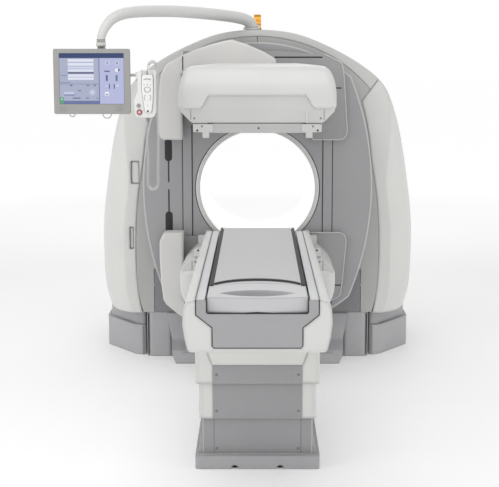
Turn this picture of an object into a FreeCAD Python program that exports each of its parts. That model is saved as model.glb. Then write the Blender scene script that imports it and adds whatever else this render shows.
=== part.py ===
import FreeCAD, Part
import math
import os

os.makedirs("parts", exist_ok=True)
V = FreeCAD.Vector

# ---- overall sizes (mm): X across, Y away from the operator, Z up ----
iso_z = 1063.0              # height of the patient axis
seat = 0.3                  # gap left where one piece sits on another
seam = 3.0                  # open line between two covers
gantry_front = -479.0
gantry_back = 480.0
gantry_widest_y = -138.0
shell_wall = 14.0
front_wall = 12.0
plinth_top = 272.0
cover_bottom = plinth_top + seat

# half outline of the gantry covers at the widest station, bottom to top
cover_half = [
    (928.0, cover_bottom), (962.0, 386.0), (974.0, 560.0), (975.0, 764.0), (966.0, 893.0),
    (946.0, 1049.0), (918.0, 1230.0), (880.0, 1407.0), (832.0, 1550.0), (784.0, 1639.0),
    (720.0, 1701.0), (645.0, 1762.0), (576.0, 1808.0), (487.0, 1858.0), (383.0, 1907.0),
    (253.0, 1956.0), (128.0, 1980.0),
]
cover_top = 1987.0
inset_front = 165.0         # how far the sides draw in at the front face
inset_back = 45.0
inset_low_z = 1100.0        # below this height the full inset applies
inset_high_z = 1700.0       # above this height there is none

# opening in the front wall of the covers
arch_inner_r = 885.0
front_half = [
    (700.0, 280.0), (728.0, 395.0), (739.0, 543.0), (740.0, 744.0), (728.0, 943.0),
    (709.0, 1089.0), (687.0, 1219.0), (675.0, 1324.0), (656.0, 1441.0), (624.5, 1564.0),
    (676.5, 1633.6),
]
seam_foot = (624.5, 1564.0)
seam_rise = (0.598, 0.801)
panel_gap = 0.8
panel_thick = 8.0
panel_recess = 2.0
lower_panel_half = 633.0
lower_panel_top = 545.0

# bore
ring_r = 338.0              # front lip of the patient opening
ring_outer_r = ring_r + 23.0
liner_r = ring_r + 12.0
liner_wall = 8.0

# turning front plate
plate_front = -669.0
plate_back = -505.0
plate_wall = 14.0
plate_r = 850.0
plate_side_half = 676.0
plate_side_r = 1700.0
plate_bore_gap = 2.0
rim_width = 9.0
rim_depth = 4.0
rail_in = ring_outer_r + 24.0
rail_out = rail_in + 55.0
track_x = rail_out + 83.0
track_half_width = 16.0
rail_gap = 1.5
rail_proud = 2.0
rail_end = 16.7154             # from the end of a rail to the inside of the rim
rail_half_len = math.sqrt((plate_r - rim_width) ** 2 - rail_out ** 2) - rail_end

# hub, bearing, drive
hub_in_r = liner_r + liner_wall + 10.0
hub_out_r = hub_in_r + 72.0
hub_back = -250.0
bearing_r = hub_out_r + 32.0
bearing_gap = 0.8
bearing_out_r = bearing_r + 24.0
hub_hole_r = bearing_r + 8.0
bearing_front = -430.0
stator_front = -370.0
stator_back = -330.0
stator_r = 780.0
inner_shoe_in = 523.0
stator_leg_half = inner_shoe_in - 8.0
drive_flange_r = bearing_out_r + 24.0
drive_flange_front = -322.0
drive_flange_back = -282.0
roller_r = 60.0
roller_gap = 0.5
roller_angle = -50.0
roller_shaft_r = 18.0
motor_r = 78.0
motor_front = -455.0
run_gap = 0.05

# CT ring behind the plate
ct_hole_r = liner_r + liner_wall + 27.0
ct_ring_r = ct_hole_r + 225.0
ct_ring_out_r = ct_ring_r + 70.0
ct_front = -100.0
ct_back = -20.0
ct_gap = 0.8
ct_disc_inset = 10.0
tube_half = 120.0
tube_low = ct_hole_r + 15.0
tube_high = ct_ring_r - 30.0
tube_back = 150.0
detector_in_r = ct_hole_r + 75.0
detector_out_r = ct_ring_r - 50.0
detector_half_angle = 32.0
detector_back = 110.0

# floor pieces of the gantry
base_half = 686.0
base_front = -296.0
base_back = 440.0
base_thick = 50.0
anchor_x = 600.0
anchor_front_y = -240.0
anchor_back_y = 380.0
anchor_r = 9.0
pocket_in = 90.0            # weight pockets in the underside of the base
pocket_out = 430.0
outer_shoe_half = 957.0
shoe_shoulder = 188.0
shoe_collar_inset = 22.0
inner_shoe_out = 682.0
inner_shoe_top = 277.0
toe_half = 490.0
toe_front = -672.0
toe_top = 66.0
boot_in = 335.0
boot_top = 276.0

# carriages and detector heads
carriage_front = -820.0
head_front = -1238.0
head_back = -705.0
carriage_back = -692.0
head_half = 429.0
head_high = 371.0
head_collar = 128.0         # level where the white shell begins at the sides
head_step = 198.0           # level of the raised middle of the shell edge
head_foot_half = head_half - 73.0
collimator_half = head_half - 154.0
collimator_high = 51.6
upper_face_r = 359.0
lower_face_r = 270.0
upper_box_lead = 67.0
lower_box_lead = 28.0
upper_plate_lead = 72.0
lower_plate_lead = 10.0
box_inner = head_half + 3.0
box_side = box_inner + 139.0
carriage_r = 895.0
carriage_set_r = 359.0      # face radius at which the carriage back lies on its circle

# table
column_y = -2175.0
column_half_len = 393.0
lower_half = 248.0
stage_step = 14.0
stage_wall = 5.0
base_cover_half = lower_half + 32.0
floor_plate_half = lower_half + 2.0
base_cover_top = 61.0
floor_plate_thick = 22.0
lower_top = 350.0
middle_low = lower_top - 120.0
middle_top = lower_top + 160.0
top_low = middle_top - 115.0
top_high = middle_top + 150.0
body_low = top_high + 24.5
fascia_half = lower_half - 47.0
fascia_depth = 2.0
tube_side = 100.0
tube_wall = 8.0
tube_gap = 0.5
tube_lower_top = lower_top - 20.0
tube_middle_low = tube_lower_top - 160.0
tube_middle_top = middle_top - 10.0
tube_upper_low = tube_middle_top - 170.0
body_front = -3214.0
body_back = -1280.0
deck_half = 189.0
strip_wide = 9.0
cap_half = deck_half + strip_wide
channel_half = cap_half + 10.0
tray_half = channel_half + 35.0
body_half = tray_half + 52.0
body_wall = 6.0
tray_floor = 826.0
tray_floor_thick = 6.0
tray_top = 893.0
deck_top = 910.0
deck_low = 870.0
deck_far = body_back + 4.0
deck_near = body_front + 274.0
cap_low = 844.0
cap_top = 905.0
cap_front = body_front + 2.0
band_far = body_front + 398.0
band_near = body_front + 316.0

# overhead arm, monitor, hand controller
arm_x = -35.0
arm_r = 31.0
post_r = arm_r + 6.0
arm_z = 2085.0                # height of the arm, the tallest piece
post_top = arm_z - 85.0
drop_x = -825.0
drop_y = -1330.0
drop_r = 21.0
drop_low = arm_z - 180.0
arm_bend = 62.0
spigot_r = 12.0
monitor_left = -1068.0
monitor_right = -668.0
monitor_high = drop_low - 33.0
monitor_low = monitor_high - 339.5
monitor_front = -1406.0
monitor_thick = 34.0
screen_left = monitor_left + 31.4
screen_right = monitor_right - 32.0
screen_low = monitor_low + 53.3
screen_high = monitor_high - 24.0
tilt_y = -1345.0
tilt_z = monitor_high - 170.0
pin_r = 6.0
holder_front = -1425.0
holder_back = -1385.0
controller_front = -1438.0
controller_back = -1398.0
pocket_gap = 2.0
red_r = 13.7
grey_r = 9.5
button_gap = 0.5
button_proud = 5.0
cord_r = 9.0

arm_y = stator_front - seat - post_r


def solid_of(shape):
    # the shape as a plain positive solid
    if shape.Volume < 0:
        shape.reverse()
    return shape


def box(x0, x1, y0, y1, z0, z1):
    return Part.makeBox(x1 - x0, y1 - y0, z1 - z0, V(x0, y0, z0))


def disc_y(r, y0, y1, x=0.0, z=iso_z):
    return Part.makeCylinder(r, y1 - y0, V(x, y0, z), V(0, 1, 0))


def ring_y(r_in, r_out, y0, y1, x=0.0, z=iso_z):
    return disc_y(r_out, y0, y1, x, z).cut(disc_y(r_in, y0 - 1, y1 + 1, x, z))


def disc_z(r, z0, z1, x, y):
    return Part.makeCylinder(r, z1 - z0, V(x, y, z0), V(0, 0, 1))


def disc_x(r, x0, x1, y, z):
    return Part.makeCylinder(r, x1 - x0, V(x0, y, z), V(1, 0, 0))


def place(plane, u, v, level):
    if plane == "xz":
        return V(u, level, v)
    if plane == "xy":
        return V(u, v, level)
    return V(level, u, v)


def rounded_face(points, plane, level):
    # closed outline of straight runs, each corner (u, v) or (u, v, radius)
    count = len(points)
    edges = []
    last = None
    first = None
    for i in range(count):
        here = points[i]
        back = points[i - 1]
        ahead = points[(i + 1) % count]
        radius = here[2] if len(here) > 2 else 0.0
        corner = place(plane, here[0], here[1], level)
        if radius <= 0.0:
            enter = corner
            leave = corner
            bend = None
        else:
            to_back = place(plane, back[0], back[1], level) - corner
            to_ahead = place(plane, ahead[0], ahead[1], level) - corner
            to_back.normalize()
            to_ahead.normalize()
            half = to_back.getAngle(to_ahead) / 2.0
            reach = radius / math.tan(half)
            enter = corner + to_back * reach
            leave = corner + to_ahead * reach
            middle = to_back + to_ahead
            middle.normalize()
            bend = corner + middle * (radius / math.sin(half) - radius)
        if last is not None and (enter - last).Length > 1e-6:
            edges.append(Part.makeLine(last, enter))
        if bend is not None:
            edges.append(Part.Arc(enter, bend, leave).toShape())
        if first is None:
            first = enter
        last = leave
    if (first - last).Length > 1e-6:
        edges.append(Part.makeLine(last, first))
    return Part.Face(Part.Wire(edges))


def prism(points, plane, low, high):
    face = rounded_face(points, plane, low)
    if plane == "xz":
        run = V(0, high - low, 0)
    elif plane == "xy":
        run = V(0, 0, high - low)
    else:
        run = V(high - low, 0, 0)
    return solid_of(face.extrude(run))


def mirror_x(shape):
    return shape.mirror(V(0, 0, 0), V(1, 0, 0))


def mirror_iso(shape):
    return shape.mirror(V(0, 0, iso_z), V(0, 0, 1))


def both_sides(points):
    # right-hand half outline, bottom to top, joined to its mirror image
    return list(points) + [(-p[0],) + tuple(p[1:]) for p in reversed(points)]


def save(name, *shapes):
    if len(shapes) == 1:
        shape = shapes[0]
    else:
        shape = Part.makeCompound(list(shapes))
    shape.exportStep("parts/" + name + ".step")
    print(name, round(shape.Volume / 1000.0, 1), len(shape.Solids), shape.isValid())


# ---- gantry covers: one skin, then split into arch and sides ----
def side_inset(z, amount):
    share = (inset_high_z - z) / (inset_high_z - inset_low_z)
    return amount * min(1.0, max(0.0, share))


def cover_section(y, amount, skin):
    half = []
    for x, z in cover_half:
        half.append((x - side_inset(z, amount), z))
    full = half + [(0.0, cover_top)] + [(-x, z) for x, z in reversed(half)]
    inner = []
    last = len(full) - 1
    for i in range(len(full)):
        ax, az = full[max(i - 1, 0)]
        bx, bz = full[min(i + 1, last)]
        length = math.hypot(bx - ax, bz - az)
        nx = -(bz - az) / length
        nz = (bx - ax) / length
        inner.append((full[i][0] + nx * skin, full[i][1] + nz * skin))
    if skin > 0.0:
        inner[0] = (inner[0][0], cover_bottom - 10.0)
        inner[last] = (inner[last][0], cover_bottom - 10.0)
    curve = Part.BSplineCurve()
    curve.interpolate([V(x, y, z) for x, z in inner])
    foot = Part.makeLine(V(inner[last][0], y, inner[last][1]), V(inner[0][0], y, inner[0][1]))
    return Part.Wire([curve.toShape(), foot])


stations = [
    (gantry_front, inset_front), (-430.0, inset_front * 0.62), (-320.0, inset_front * 0.22),
    (gantry_widest_y, 0.0), (250.0, inset_back * 0.2), (gantry_back, inset_back),
]


def cover_block(skin):
    wires = [cover_section(y, amount, skin) for y, amount in stations]
    return solid_of(Part.makeLoft(wires, True, False))


def front_contour(inset, foot_z, y0, y1):
    right = [V(x - inset, y0, z) for x, z in front_half]
    right[0] = V(front_half[0][0] - inset, y0, foot_z)
    left = [V(-p.x, p.y, p.z) for p in right]
    top_r = arch_inner_r - inset
    end = right[-1]
    rise = math.sqrt(top_r ** 2 - end.x ** 2)
    right[-1] = V(end.x, y0, iso_z + rise)
    left[-1] = V(-end.x, y0, iso_z + rise)
    edges = [Part.makeLine(left[0], right[0])]
    curve = Part.BSplineCurve()
    curve.interpolate(right[:-1])
    edges.append(curve.toShape())
    edges.append(Part.makeLine(right[-2], right[-1]))
    edges.append(Part.Arc(right[-1], V(0, y0, iso_z + top_r), left[-1]).toShape())
    edges.append(Part.makeLine(left[-1], left[-2]))
    curve = Part.BSplineCurve()
    curve.interpolate(list(reversed(left[:-1])))
    edges.append(curve.toShape())
    return solid_of(Part.Face(Part.Wire(edges)).extrude(V(0, y1 - y0, 0)))


outer = cover_block(0.0)
inner = cover_block(shell_wall)
keep = box(-1200, 1200, gantry_front + front_wall, gantry_back + 1.0, 0, 2200)
skin = outer.cut(inner.common(keep))
skin = skin.cut(front_contour(0.0, cover_bottom - 22.0, gantry_front - 20.0, gantry_front + 60.0))

nx, nz = -seam_rise[1], seam_rise[0]
far = 420.0
near = -160.0


def seam_point(t, off):
    return (seam_foot[0] + seam_rise[0] * t + nx * off, seam_foot[1] + seam_rise[1] * t + nz * off)


arch_zone = prism(both_sides([seam_point(near, seam / 2), seam_point(far, seam / 2), (875.0, 2100.0)]),
                  "xz", gantry_front - 5, gantry_back + 5)
side_zone = prism([seam_point(far, -seam / 2), seam_point(near, -seam / 2), (480.0, 250.0), (1100.0, 250.0),
                   (1100.0, 1900.0)], "xz", gantry_front - 5, gantry_back + 5)
arch = skin.common(arch_zone)
arch = arch.cut(disc_z(post_r + seat, 1850, 2100, arm_x, arm_y))

beacon_y = -126.0
stem_r = 10.0
beacon_r = 22.0
beacon_foot_r = 24.0
beacon_foot = 16.0
beacon_high = 2086.0
arch = arch.cut(disc_z(stem_r + seat, 1900, 2100, 0.0, beacon_y))
right_cover = skin.common(side_zone)
left_cover = mirror_x(right_cover)
recess_deep = 8.0
left_cover = left_cover.cut(prism([(-765, 1068, 8), (-713, 1068, 8), (-713, 1206, 8), (-765, 1206, 8)],
                                  "xz", gantry_front - 30, gantry_front + recess_deep))
left_cover = left_cover.cut(prism([(-778, 669, 6), (-752, 669, 6), (-752, 806, 6), (-778, 806, 6)],
                                  "xz", gantry_front - 30, gantry_front + recess_deep))
save("arch_cover", arch)
save("side_cover_left", left_cover)
save("side_cover_right", right_cover)

# front panels behind the turning plate
panel_y = gantry_front + panel_recess
panel = front_contour(panel_gap, inner_shoe_top + seat, panel_y, panel_y + panel_thick)
panel = panel.cut(disc_y(hub_hole_r, panel_y - 5, panel_y + 40))
lower_zone = box(-lower_panel_half, lower_panel_half, panel_y - 5, panel_y + 40, 0, lower_panel_top)
upper_panel = panel.cut(lower_zone)
upper_panel = upper_panel.cut(box(-seam / 2, seam / 2, panel_y - 5, panel_y + 40, 0, 2100))
save("front_panels", upper_panel)
low_half = lower_panel_half - seam
low_panel = box(-low_half, low_half, panel_y, panel_y + panel_thick, inner_shoe_top + seat, lower_panel_top - seam)
skirt_half = inner_shoe_in - seam
low_panel = low_panel.fuse(box(-skirt_half, skirt_half, panel_y, panel_y + panel_thick, 4.0, inner_shoe_top + 5))
low_panel = low_panel.cut(disc_y(hub_hole_r + 60.0, panel_y - 5, panel_y + 40)).removeSplitter()
save("front_panel_lower", low_panel)

# floor shoes
shoe = [(690.0, -450.0, 20), (760.0, -415.0, 30), (outer_shoe_half, gantry_widest_y - 4.0, 60),
        (outer_shoe_half, 455.0, 30), (690.0, 455.0)]
shoe_in = [(698.0, -440.0), (756.0, -404.0), (outer_shoe_half - 10.0, gantry_widest_y + 6.0),
           (outer_shoe_half - 10.0, 445.0), (698.0, 445.0)]
k = shoe_collar_inset
collar = [(690.0, -430.0, 20), (750.0, -396.0, 30), (outer_shoe_half - k, gantry_widest_y + 8.0, 60),
          (outer_shoe_half - k, 435.0, 30), (690.0, 435.0)]
outer_shoe = prism(shoe, "xy", 0.0, shoe_shoulder).fuse(prism(collar, "xy", shoe_shoulder - 1.0, plinth_top))
outer_shoe = outer_shoe.cut(prism(shoe_in, "xy", -1.0, shoe_shoulder - 8.0)).removeSplitter()
inner_shoe = prism([(inner_shoe_in, gantry_front, 25), (inner_shoe_out, gantry_front, 40),
                    (inner_shoe_out, -298.0), (inner_shoe_in, -298.0)], "xy", 0.0, inner_shoe_top)
inner_shoe = inner_shoe.cut(box(inner_shoe_in + 8, inner_shoe_out - 8, gantry_front + 8, -290, -1, inner_shoe_top - 8))
save("plinths", outer_shoe, mirror_x(outer_shoe), inner_shoe, mirror_x(inner_shoe))
toe = prism([(-toe_half, toe_front, 60), (toe_half, toe_front, 60), (toe_half, panel_y - seat),
             (-toe_half, panel_y - seat)], "xy", 0.0, toe_top)
# raised boot at each end of the toe plate
boot_back = gantry_front - seat
boot_side = [(toe_front, 0.0), (boot_back, 0.0), (boot_back, boot_top), (boot_back - 16.0, boot_top - 4.0, 10),
             (boot_back - 40.0, boot_top - 72.0, 30), (boot_back - 66.0, 122.0, 30), (-600.0, 96.0, 40),
             (-655.0, 78.0, 16), (toe_front, 52.0, 10)]
boot_front = [(boot_in, 0.0), (toe_half, 0.0, 8), (toe_half + 24.0, 60.0, 30), (toe_half + 34.0, 130.0, 60),
              (toe_half + 66.0, boot_top + 10.0), (boot_in, boot_top + 10.0)]
boot = prism(boot_side, "yz", boot_in, toe_half + 80.0).common(prism(boot_front, "xz", toe_front - 5.0, gantry_front))
toe = toe.fuse(boot).fuse(mirror_x(boot)).removeSplitter()
save("toe_plate", toe)

# base frame with anchor holes
base = box(-base_half, base_half, base_front, base_back, 0.0, base_thick)
for x in (-anchor_x, anchor_x):
    for y in (anchor_front_y, anchor_back_y):
        base = base.cut(disc_z(anchor_r, -1.0, base_thick + 1.0, x, y))
base = base.fuse(box(-stator_leg_half, stator_leg_half, base_front - 90.0, base_front, 0.0, base_thick))
for side in (-1, 1):
    base = base.cut(box(min(side * pocket_in, side * pocket_out), max(side * pocket_in, side * pocket_out),
                        -200.0, 60.0, -1.0, base_thick - 12.0))
base = base.removeSplitter()
save("base_frame", base)

# rear cover
rear = Part.Face(cover_section(gantry_back + seat, inset_back, 0.0)).extrude(V(0, 18.0, 0))
rear = solid_of(rear)
rear_skirt = box(-base_half, base_half, gantry_back + seat, gantry_back + seat + 18.0, 5.0, cover_bottom + 5.0)
rear = rear.fuse(rear_skirt).removeSplitter()
rear = rear.cut(disc_y(liner_r + liner_wall + seat, gantry_back - 5, gantry_back + 60))
save("rear_cover", rear)

# bore liner with its front lip
lip_back = plate_front + plate_wall
liner = ring_y(liner_r, liner_r + liner_wall, lip_back - 1.0, gantry_back + seat + 18.0)
lip = ring_y(ring_r, ring_outer_r, plate_front - 3.0, lip_back)
save("bore_liner", lip.fuse(liner).removeSplitter())

# stator frame, bearing, motor
stator = disc_y(stator_r, stator_front, stator_back)
stator = stator.fuse(box(-stator_leg_half, stator_leg_half, stator_front, stator_back, base_thick + seat, iso_z))
stator = stator.removeSplitter()
stator = stator.cut(disc_y(bearing_r + 3.0, stator_front - 5, stator_back + 5))
reach = drive_flange_r + roller_r + roller_gap
roller_x = reach * math.cos(math.radians(roller_angle))
roller_z = iso_z + reach * math.sin(math.radians(roller_angle))
stator = stator.cut(disc_y(roller_shaft_r + 2.0, stator_front - 5, stator_back + 5, roller_x, roller_z))
save("stator_frame", stator)
save("bearing_outer", ring_y(bearing_r, bearing_out_r, bearing_front, stator_front - seat))
motor = disc_y(motor_r, motor_front, stator_front - seat, roller_x, roller_z)
motor = motor.cut(disc_y(roller_shaft_r + run_gap, motor_front + 45.0, stator_front + 5, roller_x, roller_z))
save("drive_motor", motor)
roller = disc_y(roller_r, drive_flange_front, drive_flange_back, roller_x, roller_z)
roller = roller.fuse(disc_y(roller_shaft_r, motor_front + 46.0, drive_flange_front + 1.0, roller_x, roller_z))
save("drive_roller", roller.removeSplitter())

# ---- turning front plate ----
def plate_outline(shrink, y0, y1):
    centre = plate_side_half - plate_side_r
    shape = disc_y(plate_r - shrink, y0, y1)
    shape = shape.common(disc_y(plate_side_r - shrink, y0, y1, centre))
    return shape.common(disc_y(plate_side_r - shrink, y0, y1, -centre))


plate_face_back = plate_front + plate_wall
plate = plate_outline(0.0, plate_front, plate_back)
plate = plate.cut(plate_outline(plate_wall, plate_face_back, plate_back + 5))
plate = plate.cut(disc_y(ring_outer_r + plate_bore_gap, plate_front - 5, plate_back))
rim = plate_outline(-0.0, plate_front, plate_front + rim_depth).cut(
    plate_outline(rim_width, plate_front - 1, plate_front + rim_depth + 1))
plate = plate.cut(plate_outline(0.0, plate_front - 1, plate_front + rim_depth + seat).cut(
    plate_outline(rim_width + seat, plate_front - 2, plate_front + rim_depth + 1)))
# long rounded tracks and short cooling slots
for z in (1287.0, 858.0):
    track = prism([(-track_x - track_half_width, z - 62, 15.9), (-track_x + track_half_width, z - 62, 15.9),
                   (-track_x + track_half_width, z + 62, 15.9), (-track_x - track_half_width, z + 62, 15.9)],
                  "xz", plate_front - 5, plate_front + 8)
    plate = plate.cut(track)
for x0, x1, z in ((93.0, 378.0, 1827.0), (276.0, 378.0, 1775.0), (446.0, 492.0, 1648.0), (454.0, 506.0, 479.0)):
    plate = plate.cut(box(x0, x1, plate_front - 5, plate_front + 8, z - 6.0, z + 6.0))
for side in (-1, 1):
    low_x = min(side * rail_in, side * rail_out) - rail_gap
    high_x = max(side * rail_in, side * rail_out) + rail_gap
    plate = plate.cut(box(low_x, high_x, plate_front - 5, plate_front + 9,
                          iso_z - rail_half_len - rail_gap, iso_z + rail_half_len + rail_gap))
save("rotor_plate", plate)
save("rotor_rim", rim)
rails = []
for side in (-1, 1):
    low_x = min(side * rail_in, side * rail_out)
    high_x = max(side * rail_in, side * rail_out)
    rails.append(box(low_x, high_x, plate_front - rail_proud, plate_front + 9 - seat,
                     iso_z - rail_half_len, iso_z + rail_half_len))
save("guide_rails", *rails)
hub = ring_y(hub_in_r, hub_out_r, plate_face_back + seat, hub_back)
hub = hub.fuse(ring_y(hub_in_r + 5, bearing_r - bearing_gap, bearing_front, stator_front - 2.0))
hub = hub.fuse(ring_y(hub_in_r + 5, drive_flange_r, drive_flange_front, drive_flange_back)).removeSplitter()
save("rotor_hub", hub)

# ---- CT ring ----
ct_stator = ring_y(ct_ring_r, ct_ring_out_r, ct_front, ct_back)
leg_in = ct_ring_out_r - 240.0
leg_out = ct_ring_out_r - 80.0
for side in (-1, 1):
    leg = box(min(side * leg_in, side * leg_out), max(side * leg_in, side * leg_out), ct_front, ct_back, base_thick + seat, 720)
    ct_stator = ct_stator.fuse(leg.cut(disc_y(ct_ring_out_r - 20, ct_front - 1, ct_back + 1)))
save("ct_stator_ring", ct_stator.removeSplitter())
ct_disc_front = ct_front + ct_disc_inset
ct_disc_back = ct_back - ct_disc_inset
save("ct_rotor_ring", ring_y(ct_hole_r, ct_ring_r - ct_gap, ct_disc_front, ct_disc_back))
tube = box(-tube_half, tube_half, ct_disc_back + seat, tube_back, iso_z + tube_low, iso_z + tube_high)
save("xray_tube", tube)
sector = ring_y(detector_in_r, detector_out_r, ct_disc_back + seat, detector_back)
wide = detector_out_r * 1.2
side_x = wide * math.tan(math.radians(detector_half_angle))
wedge = prism([(0, iso_z), (side_x, iso_z - wide), (-side_x, iso_z - wide)], "xz", ct_disc_back - 5, detector_back + 5)
save("ct_detector", sector.common(wedge))


# ---- carriages and detector heads, written upward from the face ----
def carriage(face_r, box_lead, plate_lead):
    f = iso_z + face_r
    shift = face_r - carriage_set_r

    def on_circle(x):
        return iso_z + math.sqrt(carriage_r ** 2 - x ** 2) + shift

    start = (-box_side, on_circle(-box_side))
    mid = (-400.0, on_circle(-400.0))
    end = (-181.0, on_circle(-181.0))
    top = f + head_high + 3.0
    edges = [
        Part.makeLine(V(-box_side, 0, f - box_lead), V(-box_side, 0, start[1])),
        Part.Arc(V(start[0], 0, start[1]), V(mid[0], 0, mid[1]), V(end[0], 0, end[1])).toShape(),
        Part.Arc(V(end[0], 0, end[1]), V(31.0, 0, f + 438.0), V(118.0, 0, top + 2.0)).toShape(),
        Part.makeLine(V(118.0, 0, top + 2.0), V(118.0, 0, top)),
        Part.makeLine(V(118.0, 0, top), V(-box_inner, 0, top)),
        Part.makeLine(V(-box_inner, 0, top), V(-box_inner, 0, f - box_lead)),
        Part.makeLine(V(-box_inner, 0, f - box_lead), V(-box_side, 0, f - box_lead)),
    ]
    side_box = Part.Face(Part.Wire(edges)).extrude(V(0, head_back - carriage_front, 0))
    side_box.translate(V(0, carriage_front, 0))
    side_box = solid_of(side_box)

    p = f - plate_lead
    b = f - box_lead
    notch = f + 7.0
    plate_points = [
        (-box_side, b), (-324.0, b, 10), (-312.0, b + 25, 8), (-306.0, notch), (306.0, notch), (306.0, p + 34, 10),
        (324.0, p, 12), (452.0, p, 20), (526.0, p + 47, 25), (501.0, f + 296, 12), (489.0, f + 371, 20),
        (396.0, f + 417, 20), (118.0, f + 441), (-181.0, end[1]), (-400.0, mid[1]), (-box_side, start[1]),
    ]
    back = prism(plate_points, "xz", head_back + seat, carriage_back)
    shoe_back = plate_front - rail_proud - seat
    for side in (-1, 1):
        low_x = min(side * rail_in, side * rail_out)
        high_x = max(side * rail_in, side * rail_out)
        back = back.fuse(box(low_x, high_x, carriage_back - 1, shoe_back, f + 20, f + 300))
    back = back.removeSplitter()

    h = head_half
    shell = prism([(-h, f + head_collar, 6), (-305.0, f + head_collar, 20), (-262.0, f + head_step, 20),
                   (262.0, f + head_step, 20), (305.0, f + head_collar, 20), (h, f + head_collar, 6),
                   (h, f + head_high - 8, 70), (300.0, f + head_high, 200), (-300.0, f + head_high, 200),
                   (-h, f + head_high - 8, 70)], "xz", head_front, head_back)
    plan = prism([(-h, head_front, 45), (h, head_front, 45), (h, head_back), (-h, head_back)],
                 "xy", f, f + head_high + 5)
    shell = shell.common(plan)

    g = 2.0
    lug_in = collimator_half + 3.0
    lug_out = head_foot_half - 8.0
    hook_out = lug_in + 26.0
    low = prism([(-h + 4, f + head_collar - g), (-head_foot_half - 10, f + collimator_high + 12, 20),
                 (-head_foot_half + 8, f + collimator_high), (head_foot_half - 8, f + collimator_high),
                 (head_foot_half + 10, f + collimator_high + 12, 20), (h - 4, f + head_collar - g),
                 (303.0, f + head_collar - g, 20), (260.0, f + head_step - g, 20), (-260.0, f + head_step - g, 20),
                 (-303.0, f + head_collar - g, 20)], "xz", head_front + 5, head_back)
    low = low.common(prism([(-h, head_front + 5, 45), (h, head_front + 5, 45), (h, head_back), (-h, head_back)],
                           "xy", f - 50, f + head_high))
    for side in (-1, 1):
        for y in (head_front + 8, head_back - 60):
            low = low.fuse(box(min(side * lug_in, side * lug_out), max(side * lug_in, side * lug_out), y, y + 38,
                               f - 1, f + collimator_high + 2))
            low = low.fuse(box(min(side * lug_in, side * hook_out), max(side * lug_in, side * hook_out), y, y + 38,
                               f - 28, f))
    low = low.removeSplitter()
    c = collimator_half
    face = prism([(-c, head_front + 12, 10), (c, head_front + 12, 10), (c, head_back - 4, 10), (-c, head_back - 4, 10)],
                 "xy", f, f + collimator_high - seat)
    return side_box, back, shell, low, face


names = ("carriage_box", "carriage_plate", "head_shell", "head_body", "collimator")
for name, shape in zip(names, carriage(upper_face_r, upper_box_lead, upper_plate_lead)):
    save(name + "_upper", shape)
for name, shape in zip(names, carriage(lower_face_r, lower_box_lead, lower_plate_lead)):
    save(name + "_lower", mirror_iso(shape))

# ---- beacon ----
foot_z = cover_top + seat
beacon_base = disc_z(stem_r, cover_top - 30, foot_z + 1, 0.0, beacon_y)
beacon_base = beacon_base.fuse(disc_z(beacon_foot_r, foot_z, foot_z + beacon_foot, 0.0, beacon_y)).removeSplitter()
save("beacon_base", beacon_base)
lens = disc_z(beacon_r, foot_z + beacon_foot + seat, beacon_high, 0.0, beacon_y)
lens = lens.makeFillet(6.0, [e for e in lens.Edges if abs(e.BoundBox.ZMin - beacon_high) < 0.01
                             and e.BoundBox.XLength > 10])
save("beacon_lens", lens)

# ---- table ----
def column(half, grow, low, high):
    y0 = column_y - column_half_len - grow
    y1 = column_y + column_half_len + grow
    return prism([(-half, y0, 10), (half, y0, 10), (half, y1, 10), (-half, y1, 10)], "xy", low, high)


def fascia_cut(grow, low, high, half):
    y0 = column_y - column_half_len - grow
    return box(-half, half, y0 - 5, y0 + fascia_depth, low, high)


plate_half_len = column_half_len + 2.0
floor_plate = box(-floor_plate_half, floor_plate_half, column_y - plate_half_len, column_y + plate_half_len, 0.0, floor_plate_thick)
floor_hole_x = 160.0
floor_hole_y = 340.0
floor_hole_r = 8.0
for x in (-floor_hole_x, floor_hole_x):
    for y in (column_y - floor_hole_y, column_y + floor_hole_y):
        floor_plate = floor_plate.cut(disc_z(floor_hole_r, -1, floor_plate_thick + 1, x, y))
save("table_floor_plate", floor_plate)

cover_y = column_half_len + 32.0
cover = prism([(-base_cover_half, column_y - cover_y, 18), (base_cover_half, column_y - cover_y, 18),
               (base_cover_half, column_y + cover_y, 18), (-base_cover_half, column_y + cover_y, 18)],
              "xy", 0.0, base_cover_top)
side_skirt = [(lower_half + seat, 0.0), (base_cover_half, 0.0), (base_cover_half, 24.0), (lower_half + 18.0, 70.0),
              (lower_half + 8.0, 128.0), (lower_half + 3.0, 190.0), (lower_half + 2.0, 225.0), (lower_half + seat, 225.0)]
skirt = prism(side_skirt, "xz", column_y - column_half_len + 8, column_y + column_half_len - 8)
cover = cover.fuse(skirt).fuse(mirror_x(skirt))
cover = cover.cut(box(-lower_half - seat, lower_half + seat, column_y - column_half_len - seat,
                      column_y + column_half_len + seat, -1, 300))
cover = cover.cut(box(-floor_plate_half - seat, floor_plate_half + seat, column_y - plate_half_len - seat,
                      column_y + plate_half_len + seat, -1, floor_plate_thick + seat))
for x in (-102.0, 102.0):
    cover = cover.cut(disc_y(18.0, column_y - cover_y - 5, column_y - cover_y + 22, x, 0.0))
save("table_base_cover", cover.removeSplitter())

lower = column(lower_half, 0.0, floor_plate_thick + seat, lower_top)
lower = lower.cut(column(lower_half - stage_wall, -stage_wall, 0.0, lower_top + 5))
lower = lower.cut(fascia_cut(0.0, base_cover_top + 2, lower_top + 5, lower_half - 3))
save("column_lower", lower)
mid_half = lower_half + stage_step
middle = column(mid_half, stage_step, middle_low, middle_top)
middle = middle.cut(column(mid_half - stage_wall, stage_step - stage_wall, 0.0, middle_top + 5))
middle = middle.cut(fascia_cut(stage_step, middle_low - 5, middle_top + 5, fascia_half))
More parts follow.
